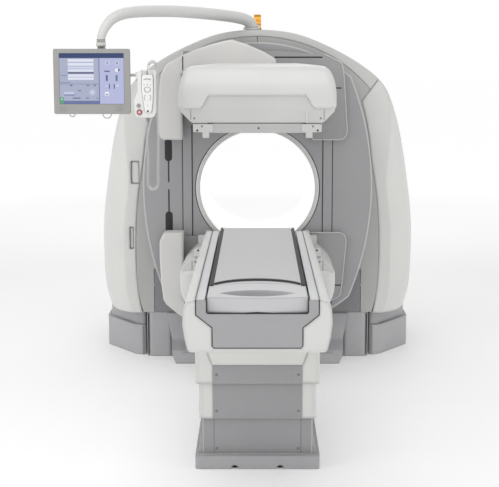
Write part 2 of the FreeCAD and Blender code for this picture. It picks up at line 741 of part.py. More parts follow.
# shelf that hangs the middle cover on its own lift tube
t1 = tube_side
t2 = t1 - tube_wall - tube_gap
t3 = t2 - tube_wall - tube_gap
shelf = column(mid_half - stage_wall + 1, stage_step - stage_wall + 1, middle_top - 30, middle_top - 20)
hole = t2 + seat
middle = middle.fuse(shelf.cut(box(-hole, hole, column_y - hole, column_y + hole, middle_top - 40, middle_top)))
middle = middle.removeSplitter()
save("column_middle", middle)
top_half = mid_half + stage_step + 1.0
grow = stage_step * 2 + 1.0
top = column(top_half, grow, top_low, top_high)
top = top.cut(column(top_half - stage_wall, grow - stage_wall, 0.0, top_high - 8))
front_y = column_y - column_half_len - grow
top = top.cut(fascia_cut(grow, top_low - 5, 478.0, fascia_half))
apron_half = fascia_half + 17.0
apron = prism([(-fascia_half + 2, 481.0), (fascia_half - 2, 481.0), (apron_half, 531.0), (apron_half, 600.0),
               (-apron_half, 600.0), (-apron_half, 531.0)], "xz", front_y - 8, front_y + 1)
top = top.fuse(apron)
saddle_half = top_half - 37.0
saddle = box(-saddle_half, saddle_half, column_y - 380.0, column_y + 380.0, top_high - 1, body_low - seat)
save("column_top", top.fuse(saddle).removeSplitter())


def square_tube(half, wall, low, high):
    shape = box(-half, half, column_y - half, column_y + half, low, high)
    k2 = half - wall
    return shape.cut(box(-k2, k2, column_y - k2, column_y + k2, low - 1, high + 1))


save("lift_tube_lower", square_tube(t1, tube_wall, floor_plate_thick + seat, tube_lower_top))
save("lift_tube_middle", square_tube(t2, tube_wall, tube_middle_low, tube_middle_top))
save("lift_tube_upper", square_tube(t3, tube_wall, tube_upper_low, top_high - 8 - seat))

body_points = both_sides([(body_half - 22.0, body_low, 22), (body_half - 8.0, 742.0, 60), (body_half, 800.0, 60),
                          (body_half - 3.0, 860.0, 22), (body_half - 16.0, 886.0, 10), (tray_half + seat, 897.0)])
body = prism(body_points, "xz", body_front, body_back)
side_view = prism([(body_front, body_low, 12), (-1950.0, body_low, 60), (body_back, 768.0, 20),
                   (body_back, 960.0), (body_front + 0.0, 960.0)], "yz", -400, 400)
body = body.common(side_view)
w = body_wall
hollow = prism(both_sides([(body_half - 63.0, body_low + w), (body_half - 19.0, 726.0), (body_half - w, 801.0),
                           (body_half - w, 862.0), (tray_half + 8, 868.0)]),
               "xz", body_front + 10, body_back - w)
hollow = hollow.common(prism([(body_front + 10, body_low + w), (-1951.0, body_low + w), (body_back - w, 775.0),
                              (body_back - w, 950.0), (body_front + 10, 950.0)], "yz", -400, 400))
body = body.cut(hollow)
body = body.cut(box(-tray_half - seat, tray_half + seat, body_front + 10, body_back + 5, tray_floor - seat, 960))
cover_seam = 2.5
front_waist = tray_half - 66.5
front_foot = front_waist
front_wing = tray_half - 3.0
front_points = both_sides([(front_foot, 706.0, 12), (front_waist, 787.0, 8), (front_wing, 838.0, 8), (front_wing, 893.0, 3)])
s = cover_seam
front_hole = both_sides([(front_foot + s, 706.0 - s, 12), (front_waist + s, 787.0 - s, 8), (front_wing + s, 838.0 - s, 8),
                         (front_wing + s, 960.0)])
body = body.cut(prism(front_hole, "xz", body_front - 5, body_front + 5.0))
body = body.cut(box(-cap_half - 3, cap_half + 3, body_front - 5, body_front + 15, cap_low - 3, 960))
save("table_body", body.removeSplitter())
front_cover = prism(front_points, "xz", body_front - 2.0, body_front + 5.0 - seat)
front_cover = front_cover.cut(box(-cap_half - 3, cap_half + 3, body_front - 9, body_front + 15, cap_low - 3, 960))
save("front_cover", front_cover)
tray = box(-tray_half, tray_half, body_front + 10 + seat, body_back - 4, tray_floor, tray_top)
tray = tray.cut(box(-channel_half, channel_half, body_front - 5, body_back + 5, tray_floor + tray_floor_thick, 960))
save("table_tray", tray)

# pallet with its dark side strips and crescent band
deck_edges = [
    Part.makeLine(V(deck_half, deck_near, deck_low), V(deck_half, deck_far, deck_low)),
    Part.makeLine(V(deck_half, deck_far, deck_low), V(-deck_half, deck_far, deck_low)),
    Part.makeLine(V(-deck_half, deck_far, deck_low), V(-deck_half, deck_near, deck_low)),
    Part.Arc(V(-deck_half, deck_near, deck_low), V(0, band_far, deck_low), V(deck_half, deck_near, deck_low)).toShape(),
]
deck = solid_of(Part.Face(Part.Wire(deck_edges)).extrude(V(0, 0, deck_top - deck_low)))
runner_low = tray_floor + tray_floor_thick + 0.5
runner_in = deck_half - 79.0
runner_out = deck_half - 39.0
for side in (-1, 1):
    deck = deck.fuse(box(min(side * runner_in, side * runner_out), max(side * runner_in, side * runner_out), band_far + 6.0, deck_far - 60.0,
                         runner_low, deck_low + 1))
save("pallet_deck", deck.removeSplitter())
crescent_edges = [
    Part.Arc(V(-deck_half, deck_near - seat, deck_low), V(0, band_far - seat, deck_low),
             V(deck_half, deck_near - seat, deck_low)).toShape(),
    Part.makeLine(V(deck_half, deck_near - seat, deck_low), V(deck_half, deck_near - 8, deck_low)),
    Part.Arc(V(deck_half, deck_near - 8, deck_low), V(0, band_near, deck_low),
             V(-deck_half, deck_near - 8, deck_low)).toShape(),
    Part.makeLine(V(-deck_half, deck_near - 8, deck_low), V(-deck_half, deck_near - seat, deck_low)),
]
crescent = solid_of(Part.Face(Part.Wire(crescent_edges)).extrude(V(0, 0, deck_top - 3 - deck_low)))
strip = box(deck_half + seat, deck_half + strip_wide, deck_near - 8, deck_far + 4, deck_low - 4, deck_top - 3)
save("pallet_strips", strip, mirror_x(strip), crescent)
cap_edges = [
    Part.Arc(V(-deck_half, deck_near - 8 - seat, cap_low), V(0, band_near - seat, cap_low),
             V(deck_half, deck_near - 8 - seat, cap_low)).toShape(),
    Part.makeLine(V(deck_half, deck_near - 8 - seat, cap_low), V(cap_half, deck_near - 8 - seat, cap_low)),
    Part.makeLine(V(cap_half, deck_near - 8 - seat, cap_low), V(cap_half, cap_front + 14, cap_low)),
    Part.Arc(V(cap_half, cap_front + 14, cap_low), V(0, cap_front, cap_low),
             V(-cap_half, cap_front + 14, cap_low)).toShape(),
    Part.makeLine(V(-cap_half, cap_front + 14, cap_low), V(-cap_half, deck_near - 8 - seat, cap_low)),
    Part.makeLine(V(-cap_half, deck_near - 8 - seat, cap_low), V(-deck_half, deck_near - 8 - seat, cap_low)),
]
cap = solid_of(Part.Face(Part.Wire(cap_edges)).extrude(V(0, 0, cap_top - cap_low)))
grip_half = cap_half - 49.0
grip_far = body_front + 162.0
grip_near = body_front + 34.0
grip_mid = (grip_far + grip_near) / 2
eye = Part.Face(Part.Wire([
    Part.Arc(V(-grip_half, grip_mid, cap_low - 5), V(0, grip_far, cap_low - 5), V(grip_half, grip_mid, cap_low - 5)).toShape(),
    Part.Arc(V(grip_half, grip_mid, cap_low - 5), V(0, grip_near, cap_low - 5), V(-grip_half, grip_mid, cap_low - 5)).toShape(),
])).extrude(V(0, 0, 100))
save("pallet_end_cap", cap.cut(solid_of(eye)))

# cable duct on the floor between table and gantry
duct = box(-90.0, 90.0, column_y + cover_y + seat, toe_front - seat, 0.0, 25.0)
save("floor_duct", duct)

# ---- overhead arm ----
post = disc_z(post_r, 1780.0, post_top, arm_x, arm_y)
post = post.fuse(disc_z(post_r + 14, cover_top + 1.5, post_top, arm_x, arm_y)).removeSplitter()
save("arm_post", post)


def bent_path(points, bend):
    # straight runs joined by tangent arcs of one radius
    edges = []
    last = points[0]
    for i in range(1, len(points) - 1):
        corner = points[i]
        to_back = points[i - 1] - corner
        to_ahead = points[i + 1] - corner
        to_back.normalize()
        to_ahead.normalize()
        half = to_back.getAngle(to_ahead) / 2.0
        reach = bend / math.tan(half)
        enter = corner + to_back * reach
        leave = corner + to_ahead * reach
        middle = to_back + to_ahead
        middle.normalize()
        edges.append(Part.LineSegment(last, enter).toShape())
        edges.append(Part.Arc(enter, corner + middle * (bend / math.sin(half) - bend), leave).toShape())
        last = leave
    edges.append(Part.LineSegment(last, points[-1]).toShape())
    return Part.Wire(edges)


def tube_along(path, r, start, along):
    ring = Part.Wire([Part.makeCircle(r, start, along)])
    return solid_of(path.makePipeShell([ring], True, False))


rise = V(arm_x, arm_y, post_top + seat)
knee = V(arm_x, arm_y, arm_z)
far_knee = V(drop_x, drop_y, arm_z)
arm_path = bent_path([rise, knee, far_knee - (far_knee - knee) * 0.085], arm_bend)
arm = tube_along(arm_path, arm_r, rise, V(0, 0, 1))
flat_dir = far_knee - knee
flat_dir.normalize()
drop_path = bent_path([far_knee - flat_dir * 104.0, far_knee, V(drop_x, drop_y, drop_low + seat)], arm_bend)
drop = tube_along(drop_path, drop_r, far_knee - flat_dir * 104.0, flat_dir)
arm = arm.fuse(drop)
arm = arm.fuse(disc_z(spigot_r, drop_low - 30, drop_low + 5, drop_x, drop_y)).removeSplitter()
save("monitor_arm", arm)

# yoke with the rod that carries the holder
fork = 30.7
yoke = disc_z(drop_r + 5, drop_low - 20, drop_low, drop_x, drop_y)
yoke = yoke.fuse(box(drop_x - 20, drop_x + 20, -1330, -1304, tilt_z - 17, drop_low - 19))
yoke = yoke.fuse(box(drop_x - fork - 12, drop_x + fork + 12, -1327, -1303, tilt_z - 17, tilt_z + 17))
for side in (-1, 1):
    a = drop_x + side * fork
    b = drop_x + side * (fork + 12)
    yoke = yoke.fuse(box(min(a, b), max(a, b), tilt_y - 13, -1304, tilt_z - 14, tilt_z + 14))
rod_z = tilt_z + 33.0
rod_y = -1352.0
rod_end = drop_x + 217.0
yoke = yoke.fuse(box(drop_x + 15, drop_x + 60, rod_y - 8, -1306, rod_z - 10, rod_z + 10))
yoke = yoke.fuse(disc_x(8.0, drop_x + 50, rod_end, rod_y, rod_z)).removeSplitter()
yoke = yoke.cut(disc_x(pin_r + run_gap, drop_x - 60, drop_x + 60, tilt_y, tilt_z))
yoke = yoke.cut(disc_z(spigot_r + run_gap, drop_low - 31, drop_low + 5, drop_x, drop_y))
save("monitor_yoke", yoke)

# monitor
back_y = monitor_front + monitor_thick
housing = prism([(monitor_left, monitor_low, 9), (monitor_right, monitor_low, 9), (monitor_right, monitor_high, 9),
                 (monitor_left, monitor_high, 9)], "xz", monitor_front, back_y)
glass_gap = 0.4
housing = housing.cut(box(screen_left - glass_gap, screen_right + glass_gap, monitor_front - 5, monitor_front + 6,
                          screen_low - glass_gap, screen_high + glass_gap))
boss = box(drop_x - 26, drop_x + 26, back_y - 1, tilt_y, tilt_z - 12, tilt_z + 12)
boss = boss.fuse(disc_x(12.0, drop_x - fork + 0.5, drop_x + fork - 0.5, tilt_y, tilt_z))
boss = boss.fuse(disc_x(pin_r, drop_x - fork - 12, drop_x + fork + 12, tilt_y, tilt_z))
save("monitor_housing", housing.fuse(boss).removeSplitter())
save("monitor_screen", box(screen_left, screen_right, monitor_front + 0.5, monitor_front + 6 - seat,
                           screen_low, screen_high))
loops = []
for x, r in ((monitor_left + 93.0, 14.0), (monitor_right - 124.5, 22.0)):
    loop = Part.makeTorus(r, 2.5, V(x, monitor_front + 16, monitor_low - seat), V(0, 1, 0))
    loops.append(loop.cut(box(x - 60, x + 60, -1500, -1300, monitor_low - seat, monitor_low + 80)))
save("monitor_loops", *loops)

# holder with its pocket, hand controller and two buttons
holder_x = drop_x + 250.0


def at_holder(points):
    return [(holder_x + p[0], rod_z + p[1]) + tuple(p[2:]) for p in points]


controller_outline = at_holder([(-15.0, -195.3, 12), (21.0, -195.3, 12), (28.0, -135.0, 40), (30.5, -75.0, 40),
                                (29.0, 1.5, 14), (-28.0, 1.5, 14), (-29.5, -75.0, 40), (-22.0, -135.0, 40)])
g = pocket_gap
pocket_outline = at_holder([(-15.0 - g, -195.7, 12), (21.0 + g, -195.7, 12), (28.0 + g, -135.0, 40),
                            (30.5 + g, -75.0, 40), (30.5 + g, 65.0), (-29.5 - g, 65.0), (-29.5 - g, -75.0, 40),
                            (-22.0 - g, -135.0, 40)])
holder = prism(at_holder([(-65.0, -216.0, 18), (-25.0, -220.0, 40), (30.0, -220.0, 16), (43.0, -190.0, 20),
                          (43.0, 27.0, 12), (-52.0, 27.0, 18), (-52.0, -83.0, 30), (-73.0, -135.0, 30)]),
               "xz", holder_front, holder_back)
holder = holder.fuse(box(holder_x - 65.0, holder_x - 15.0, holder_back - 1, rod_y + 16, rod_z - 18, rod_z + 18))
holder = holder.cut(disc_x(8.0 + seat, holder_x - 125.0, rod_end + seat, rod_y, rod_z))
holder = holder.cut(prism(pocket_outline, "xz", holder_front - 5, controller_back + 0.5))
buttons = {"button_grey": (holder_x - 47.5, rod_z - 158.0, grey_r), "button_red": (holder_x - 43.5, rod_z - 192.0, red_r)}
for name, (x, z, r) in buttons.items():
    holder = holder.cut(disc_y(r + button_gap, holder_front - 5, holder_front + 14, x, z))
    knob = disc_y(r, holder_front - button_proud, holder_front + 10, x, z)
    save(name, knob)
save("controller_holder", holder.removeSplitter())
save("hand_controller", prism(controller_outline, "xz", controller_front, controller_back))

# curly cord, as one tube of the coil's outer diameter
cord_points = [
    V(-576, -1420, 1737.0), V(-577, -1421, 1797), V(-521, -1492, 1812), V(-512, -1500, 1712),
    V(-519, -1503, 1560), V(-513, -1508, 1400), V(-520, -1502, 1250), V(-518, -1498, 1146),
    V(-583, -1418, 1138), V(-577, -1408, 1290), V(-584, -1404, 1420), V(-580, -1406, 1514.2),
]
cord_edges = []
last = cord_points[0]
for i in range(1, len(cord_points) - 1):
    corner = cord_points[i]
    to_back = cord_points[i - 1] - corner
    to_ahead = cord_points[i + 1] - corner
    short = min(to_back.Length, to_ahead.Length)
    to_back.normalize()
    to_ahead.normalize()
    between = to_back.getAngle(to_ahead)
    half_turn = (math.pi - between) / 2.0
    radius = 0.45 * short / math.tan(half_turn)
    enter = corner + to_back * (0.45 * short)
    leave = corner + to_ahead * (0.45 * short)
    middle = to_back + to_ahead
    middle.normalize()
    bulge = corner + middle * (radius / math.cos(half_turn) - radius)
    cord_edges.append(Part.LineSegment(last, enter).toShape())
    cord_edges.append(Part.Arc(enter, bulge, leave).toShape())
    print("cord bend", i, "radius", round(radius, 1), "run", round(short, 1))
    last = leave
cord_edges.append(Part.LineSegment(last, cord_points[-1]).toShape())
cord_path = Part.Wire(cord_edges)
cord_dir = cord_points[1] - cord_points[0]
cord = tube_along(cord_path, cord_r, cord_points[0], cord_dir)
print("cord length", round(cord_path.Length, 1), "volume ratio",
      round(cord.Volume / (math.pi * cord_r ** 2 * cord_path.Length), 4))
save("controller_cord", cord)
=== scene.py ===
import math

import bmesh
import bpy
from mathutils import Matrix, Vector


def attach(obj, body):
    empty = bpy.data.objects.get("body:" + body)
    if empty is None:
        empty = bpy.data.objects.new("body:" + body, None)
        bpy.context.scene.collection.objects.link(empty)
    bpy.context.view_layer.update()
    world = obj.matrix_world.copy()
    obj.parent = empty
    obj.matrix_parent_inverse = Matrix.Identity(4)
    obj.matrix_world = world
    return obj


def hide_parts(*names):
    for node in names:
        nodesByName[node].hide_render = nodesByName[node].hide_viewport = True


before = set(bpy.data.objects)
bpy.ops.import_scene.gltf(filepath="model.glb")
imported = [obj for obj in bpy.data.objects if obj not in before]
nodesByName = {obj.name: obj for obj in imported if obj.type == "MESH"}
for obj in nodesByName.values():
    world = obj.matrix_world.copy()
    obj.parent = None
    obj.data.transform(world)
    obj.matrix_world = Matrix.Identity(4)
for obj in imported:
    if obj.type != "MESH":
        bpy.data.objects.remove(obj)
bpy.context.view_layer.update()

scene = bpy.context.scene
scene.view_settings.view_transform = "Standard"
print("frame loaded:", len(nodesByName), "nodes")


def linear(hexText):  # sRGB hex to the linear values that sockets take
    out = []
    for i in (1, 3, 5):
        c = int(hexText[i:i + 2], 16) / 255.0
        out.append(c / 12.92 if c <= 0.04045 else ((c + 0.055) / 1.055) ** 2.4)
    return (*out, 1.0)


def addNode(tree, kind, settings=None, links=None):  # settings with a leading > go to input sockets
    node = tree.nodes.new(kind)
    for key, value in (settings or {}).items():
        if key.startswith(">"):
            node.inputs[key[1:]].default_value = value
        else:
            setattr(node, key, value)
    for key, source in (links or {}).items():
        tree.links.new(source, node.inputs[key])
    return node


# camera
cameraSet = {
    "place": (0.0, -8.0, 1.85),   # standing in front of the table's foot, at eye height
    "pitchDown": 8.672,           # degrees
    "lens": 90.1,                 # mm on a 36 mm sensor
    "shiftX": -0.016,
}
cameraData = bpy.data.cameras.new("studioCamera")
cameraData.lens = cameraSet["lens"]
cameraData.sensor_width = 36.0
cameraData.shift_x = cameraSet["shiftX"]
cameraData.clip_end = 200.0
camera = bpy.data.objects.new("studioCamera", cameraData)
camera.location = cameraSet["place"]
camera.rotation_euler = (math.radians(90.0 - cameraSet["pitchDown"]), 0.0, 0.0)
scene.collection.objects.link(camera)
scene.camera = camera

# finishes
# hue: the body colour. drift: how far the colour wanders over a panel. grain: spark texture or paint peel, in mm.
# lift: bump depth in mm. soft: edge radius that the light sees on a moulded or painted edge, in mm.
# scuff: painted shade, how far a finish darkens in blotches towards the floor.
def coat(family, hue, **changes):  # one finish: its family's values, its colour and what differs
    return {**family, "hue": hue, **changes}


mouldedAbs = dict(drift=0.02, rough=0.36, grain=3.0, lift=0.05, soft=5.0, ior=1.53)
powderCoat = dict(drift=0.03, rough=0.46, grain=4.0, lift=0.08, soft=2.0, ior=1.5)
finePlastic = dict(drift=0.02, rough=0.36, grain=2.0, lift=0.02, soft=1.0, ior=1.58)
finishes = {
    # injection moulded ABS covers: off-white, satin, fine spark grain
    "mouldedAbsCover": coat(mouldedAbs, "#DDDDDA", soft=22.0),
    "mouldedAbsArch": coat(mouldedAbs, "#CFCFCC", rough=0.34, soft=14.0),
    # the liner is the same white plastic; its lighter hue and its glow are painted light from inside the opening
    "paintedGlowAbsLiner": coat(mouldedAbs, "#F4F4F3", drift=0.01, lift=0.04, glow=0.22),
    "mouldedAbsHead": coat(mouldedAbs, "#D6D6D5", drift=0.015, rough=0.32, lift=0.04, soft=6.0),
    "mouldedAbsHeadBody": coat(mouldedAbs, "#CBCBC9", rough=0.38, soft=3.0),
    "mouldedAbsArm": coat(mouldedAbs, "#D2D2D0", drift=0.015, lift=0.04, soft=3.0),
    "mouldedAbsTable": coat(mouldedAbs, "#E0E0DE", drift=0.015, rough=0.34, lift=0.04, soft=24.0),
    "mouldedAbsTray": coat(mouldedAbs, "#D9DADB", rough=0.40, soft=3.0),
    "mouldedAbsGrip": coat(mouldedAbs, "#CDCDCF", rough=0.38, soft=13.0),
    # floor of the hand hollow: the same plastic, darkened as painted shade for the deep shade in the hollow
    "paintedShadeAbsWell": coat(mouldedAbs, "#77777A", drift=0.04, rough=0.55, soft=2.0),
    # textured ABS floor shoes: mid grey, with painted shade that darkens them in blotches near the floor
    "texturedAbsShoe": coat(mouldedAbs, "#B4B4B6", drift=0.04, rough=0.52, grain=5.0, lift=0.12, soft=16.0,
                            scuff=0.16),
    # the base cover: the same painted shade near the floor, a little weaker
    "texturedAbsBase": coat(mouldedAbs, "#AEAEB0", drift=0.04, rough=0.50, grain=5.0, lift=0.10, soft=8.0,
                            scuff=0.10),
    # powder coated sheet: slightly pebbled satin greys
    "powderCoatPanel": coat(powderCoat, "#B9B9B7"),
    "powderCoatPlate": coat(powderCoat, "#A1A1A3", rough=0.42, soft=4.0),
    "powderCoatDark": coat(powderCoat, "#8C8C8E"),
    "powderCoatRim": coat(powderCoat, "#C6C6C7", drift=0.02, rough=0.36, lift=0.05),
    "powderCoatCarriage": coat(powderCoat, "#D3D2D0", drift=0.025, rough=0.40, lift=0.07, soft=6.0),
    "powderCoatCarriagePlate": coat(powderCoat, "#9A9A9B", rough=0.42, lift=0.07, soft=3.0),
    "powderCoatFascia": coat(powderCoat, "#9E9EA0", rough=0.48, lift=0.09, soft=1.5),
    # silver lacquer over moulded plastic: smooth, faintly metallic
    "silverPaintCover": coat(powderCoat, "#ABABAD", rough=0.38, grain=2.5, lift=0.04, soft=3.0, metal=0.15),
    # primed structural steel inside the covers: dull, uneven grey
    "primedSteel": coat(powderCoat, "#7C7F82", drift=0.06, rough=0.60, grain=8.0, lift=0.10, soft=1.5),
    # bead blasted aluminium collimator: dull, even, faintly metallic
    "blastedAluminium": coat(powderCoat, "#BDBDBC", rough=0.50, grain=2.0, lift=0.03, metal=0.15),
    # phenolic laminate of the pallet deck: flat satin grey
    "satinLaminate": coat(powderCoat, "#C2C2C2", drift=0.02, rough=0.44, grain=6.0, lift=0.04, soft=4.0),
    # nitrile rubber edge strip: dark, matt
    "nitrileStrip": coat(finePlastic, "#3C3C3E", drift=0.05, rough=0.62, lift=0.05, soft=2.0, ior=1.52),
    # matt black ABS of slots, shadow gaps and trim
    "mattBlackAbs": coat(finePlastic, "#262627", drift=0.05, rough=0.55, lift=0.04, ior=1.53),
    # foam rubber gasket in the seams: a soft dark line
    "seamGasket": coat(finePlastic, "#4A4A4C", drift=0.05, rough=0.66, lift=0.04, soft=0.5, ior=1.52),
    # moulded polycarbonate blend of bezel and keys: warm grey, satin
    "mouldedPcBezel": coat(finePlastic, "#A0A09E", rough=0.40, lift=0.04, soft=3.0),
    "mouldedPcKey": coat(finePlastic, "#9C9996", rough=0.46, lift=0.04),
    # white polycarbonate of the handset and its holder: clean, a little glossier
    "whitePcHandset": coat(finePlastic, "#F1F2F0", drift=0.01, rough=0.32, soft=2.0),
    "whitePcHolder": coat(finePlastic, "#E9EBE9", drift=0.01, rough=0.34, lift=0.03, soft=3.0),
    # dyed polycarbonate of the stop button: dull red ring, pale cap
    "redPcRing": coat(finePlastic, "#9C5357", drift=0.03),
    "pinkPcCap": coat(finePlastic, "#E3C4C6"),
    # orange polycarbonate core of the beacon
    "orangePcCore": coat(finePlastic, "#E07A16", drift=0.04, rough=0.35),
    # polyurethane sheath of the curly cord: light grey, satin
    "polyurethaneSheath": coat(finePlastic, "#C9C9C8", drift=0.03, rough=0.42, soft=0.0, ior=1.50),
}
steels = {
    # turned and ground bearing steel: bright with fine turning lines
    "groundSteel": dict(hue="#B9BABC", rough=0.28, lines=1.2),
    # zinc plated screw heads
    "zincPlate": dict(hue="#8F9092", rough=0.34, lines=0.6),
}
madeMaterials = {}


def mapped(tree, sizeMm):  # object coordinates scaled so that one cell is sizeMm wide
    place = addNode(tree, "ShaderNodeTexCoord")
    k = 1000.0 / sizeMm
    return addNode(tree, "ShaderNodeMapping", {">Scale": (k, k, k)}, {"Vector": place.outputs["Object"]})


def openMaterial(name):  # an empty node tree with its output
    material = bpy.data.materials.new(name)
    material.use_nodes = True
    material.node_tree.nodes.clear()
    madeMaterials[name] = material
    return material.node_tree, addNode(material.node_tree, "ShaderNodeOutputMaterial")


def makeFinish(name):
    spec = finishes[name]
    tree, output = openMaterial(name)
    r, g, b, a = linear(spec["hue"])
    d = spec["drift"]
    wide = addNode(tree, "ShaderNodeTexNoise", {">Scale": 1.0, ">Detail": 3.0, ">Roughness": 0.55},
                   {"Vector": mapped(tree, 260.0).outputs["Vector"]})
    tint = addNode(tree, "ShaderNodeValToRGB", None, {"Fac": wide.outputs["Fac"]})
    tint.color_ramp.elements[0].position = 0.3
    tint.color_ramp.elements[1].position = 0.7
    tint.color_ramp.elements[0].color = (r * (1 - d), g * (1 - d), b * (1 - d * 0.8), 1)
    tint.color_ramp.elements[1].color = (min(r * (1 + d), 1), min(g * (1 + d), 1), min(b * (1 + d * 0.8), 1), 1)
    colour = tint.outputs["Color"]
    if spec.get("scuff"):  # painted shade: a blotchy dark band that fades upward from the floor
        place = addNode(tree, "ShaderNodeTexCoord")
        split = addNode(tree, "ShaderNodeSeparateXYZ", None, {"Vector": place.outputs["Object"]})
        rise = addNode(tree, "ShaderNodeMapRange", {">From Min": 0.0, ">From Max": 0.16, ">To Min": spec["scuff"],
                                                    ">To Max": 0.0}, {"Value": split.outputs["Z"]})
        shadeNoise = addNode(tree, "ShaderNodeTexNoise", {">Scale": 1.0, ">Detail": 6.0},
                       {"Vector": mapped(tree, 40.0).outputs["Vector"]})
        amount = addNode(tree, "ShaderNodeMath", {"operation": "MULTIPLY"})
        tree.links.new(rise.outputs["Result"], amount.inputs[0])
        tree.links.new(shadeNoise.outputs["Fac"], amount.inputs[1])
        mix = addNode(tree, "ShaderNodeMix", {"data_type": "RGBA"})
        tree.links.new(amount.outputs["Value"], mix.inputs[0])
        tree.links.new(colour, mix.inputs[6])
        mix.inputs[7].default_value = (r * 0.35, g * 0.35, b * 0.34, 1)
        colour = mix.outputs[2]
    sheen = addNode(tree, "ShaderNodeMapRange", {">From Min": 0.3, ">From Max": 0.7,
                                                 ">To Min": spec["rough"] - 0.03, ">To Max": spec["rough"] + 0.05},
                    {"Value": wide.outputs["Fac"]})
    fine = addNode(tree, "ShaderNodeTexNoise", {">Scale": 1.0, ">Detail": 2.0},
                   {"Vector": mapped(tree, spec["grain"]).outputs["Vector"]})
    bump = addNode(tree, "ShaderNodeBump", {">Strength": 0.5, ">Distance": spec["lift"] / 1000.0},
                   {"Height": fine.outputs["Fac"]})
    if spec["soft"] > 0.0:
        edge = addNode(tree, "ShaderNodeBevel", {"samples": 4, ">Radius": spec["soft"] / 1000.0})
        tree.links.new(edge.outputs["Normal"], bump.inputs["Normal"])
    # a finish's glow sets emission: a painted glow on a part that is no lamp
    shader = addNode(tree, "ShaderNodeBsdfPrincipled",
                     {">IOR": spec["ior"], ">Metallic": spec.get("metal", 0.0), ">Emission Color": (1, 1, 1, 1),
                      ">Emission Strength": spec.get("glow", 0.0)},
                     {"Base Color": colour, "Roughness": sheen.outputs["Result"], "Normal": bump.outputs["Normal"]})
    tree.links.new(shader.outputs["BSDF"], output.inputs["Surface"])


def makeSteel(name):
    spec = steels[name]
    tree, output = openMaterial(name)
    r, g, b, a = linear(spec["hue"])
    lines = addNode(tree, "ShaderNodeTexWave", {"wave_type": "RINGS", "rings_direction": "Y", ">Scale": 1.0,
                                                ">Distortion": 1.5, ">Detail": 2.0},
                    {"Vector": mapped(tree, spec["lines"] * 12.0).outputs["Vector"]})
    cloud = addNode(tree, "ShaderNodeTexNoise", {">Scale": 1.0, ">Detail": 4.0},
                    {"Vector": mapped(tree, 35.0).outputs["Vector"]})
    tint = addNode(tree, "ShaderNodeValToRGB", None, {"Fac": cloud.outputs["Fac"]})
    tint.color_ramp.elements[0].color = (r * 0.86, g * 0.86, b * 0.87, 1)
    tint.color_ramp.elements[1].color = (r, g, b, 1)
    sheen = addNode(tree, "ShaderNodeMapRange", {">To Min": spec["rough"], ">To Max": spec["rough"] + 0.14},
                    {"Value": cloud.outputs["Fac"]})
    bump = addNode(tree, "ShaderNodeBump", {">Strength": 0.3, ">Distance": 0.00005}, {"Height": lines.outputs["Fac"]})
    shader = addNode(tree, "ShaderNodeBsdfPrincipled", {">Metallic": 1.0},
                     {"Base Color": tint.outputs["Color"], "Roughness": sheen.outputs["Result"],
                      "Normal": bump.outputs["Normal"]})
    tree.links.new(shader.outputs["BSDF"], output.inputs["Surface"])


def makeDisplay(name, hexText, glow):  # lit liquid crystal area under a matt anti-glare sheet
    tree, output = openMaterial(name)
    r, g, b, a = linear(hexText)
    cloud = addNode(tree, "ShaderNodeTexNoise", {">Scale": 1.0, ">Detail": 1.0},
                    {"Vector": mapped(tree, 180.0).outputs["Vector"]})
    tint = addNode(tree, "ShaderNodeValToRGB", None, {"Fac": cloud.outputs["Fac"]})
    tint.color_ramp.elements[0].color = (r * 0.95, g * 0.96, b * 0.99, 1)
    tint.color_ramp.elements[1].color = (r, g, b, 1)
    shader = addNode(tree, "ShaderNodeBsdfPrincipled",
                     {">IOR": 1.5, ">Roughness": 0.35, ">Base Color": (r * 0.1, g * 0.1, b * 0.1, 1),
                      ">Emission Strength": glow}, {"Emission Color": tint.outputs["Color"]})
    tree.links.new(shader.outputs["BSDF"], output.inputs["Surface"])


def makeAmberLens():  # clear dyed polycarbonate: lets the orange core show through
    tree, output = openMaterial("amberPolycarbonate")
    ribs = addNode(tree, "ShaderNodeTexWave", {"wave_type": "BANDS", "bands_direction": "Z", ">Scale": 1.0},
                   {"Vector": mapped(tree, 30.0).outputs["Vector"]})
    tint = addNode(tree, "ShaderNodeValToRGB", None, {"Fac": ribs.outputs["Fac"]})
    tint.color_ramp.elements[0].color = linear("#F0B020")
    tint.color_ramp.elements[1].color = linear("#FFD24A")
    bump = addNode(tree, "ShaderNodeBump", {">Strength": 0.4, ">Distance": 0.0006}, {"Height": ribs.outputs["Fac"]})
    shader = addNode(tree, "ShaderNodeBsdfPrincipled",
                     {">IOR": 1.58, ">Roughness": 0.12, ">Transmission Weight": 0.35,
                      ">Emission Color": linear("#F2A51E"), ">Emission Strength": 0.25},
                     {"Base Color": tint.outputs["Color"], "Normal": bump.outputs["Normal"]})
    tree.links.new(shader.outputs["BSDF"], output.inputs["Surface"])


def finishOf(name):
    if name not in madeMaterials:
        (makeFinish if name in finishes else makeSteel)(name)
    return madeMaterials[name]


# building tools
def newPiece(name, bm, finish, body, slotName, sharpAngle=32.0):
    bmesh.ops.recalc_face_normals(bm, faces=bm.faces)
    mesh = bpy.data.meshes.new(name)
    bm.to_mesh(mesh)
    bm.free()
    for polygon in mesh.polygons:
        polygon.use_smooth = True
    mesh.set_sharp_from_angle(angle=math.radians(sharpAngle))
    mesh.materials.append(finishOf(finish))
    piece = bpy.data.objects.new(name, mesh)
    scene.collection.objects.link(piece)
    if body:
        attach(piece, body)
    return piece


def bendSign(points):  # 1 when the outline runs anticlockwise
    area = sum(points[i - 1][0] * points[i][1] - points[i][0] * points[i - 1][1] for i in range(len(points)))
    return 1.0 if area > 0 else -1.0


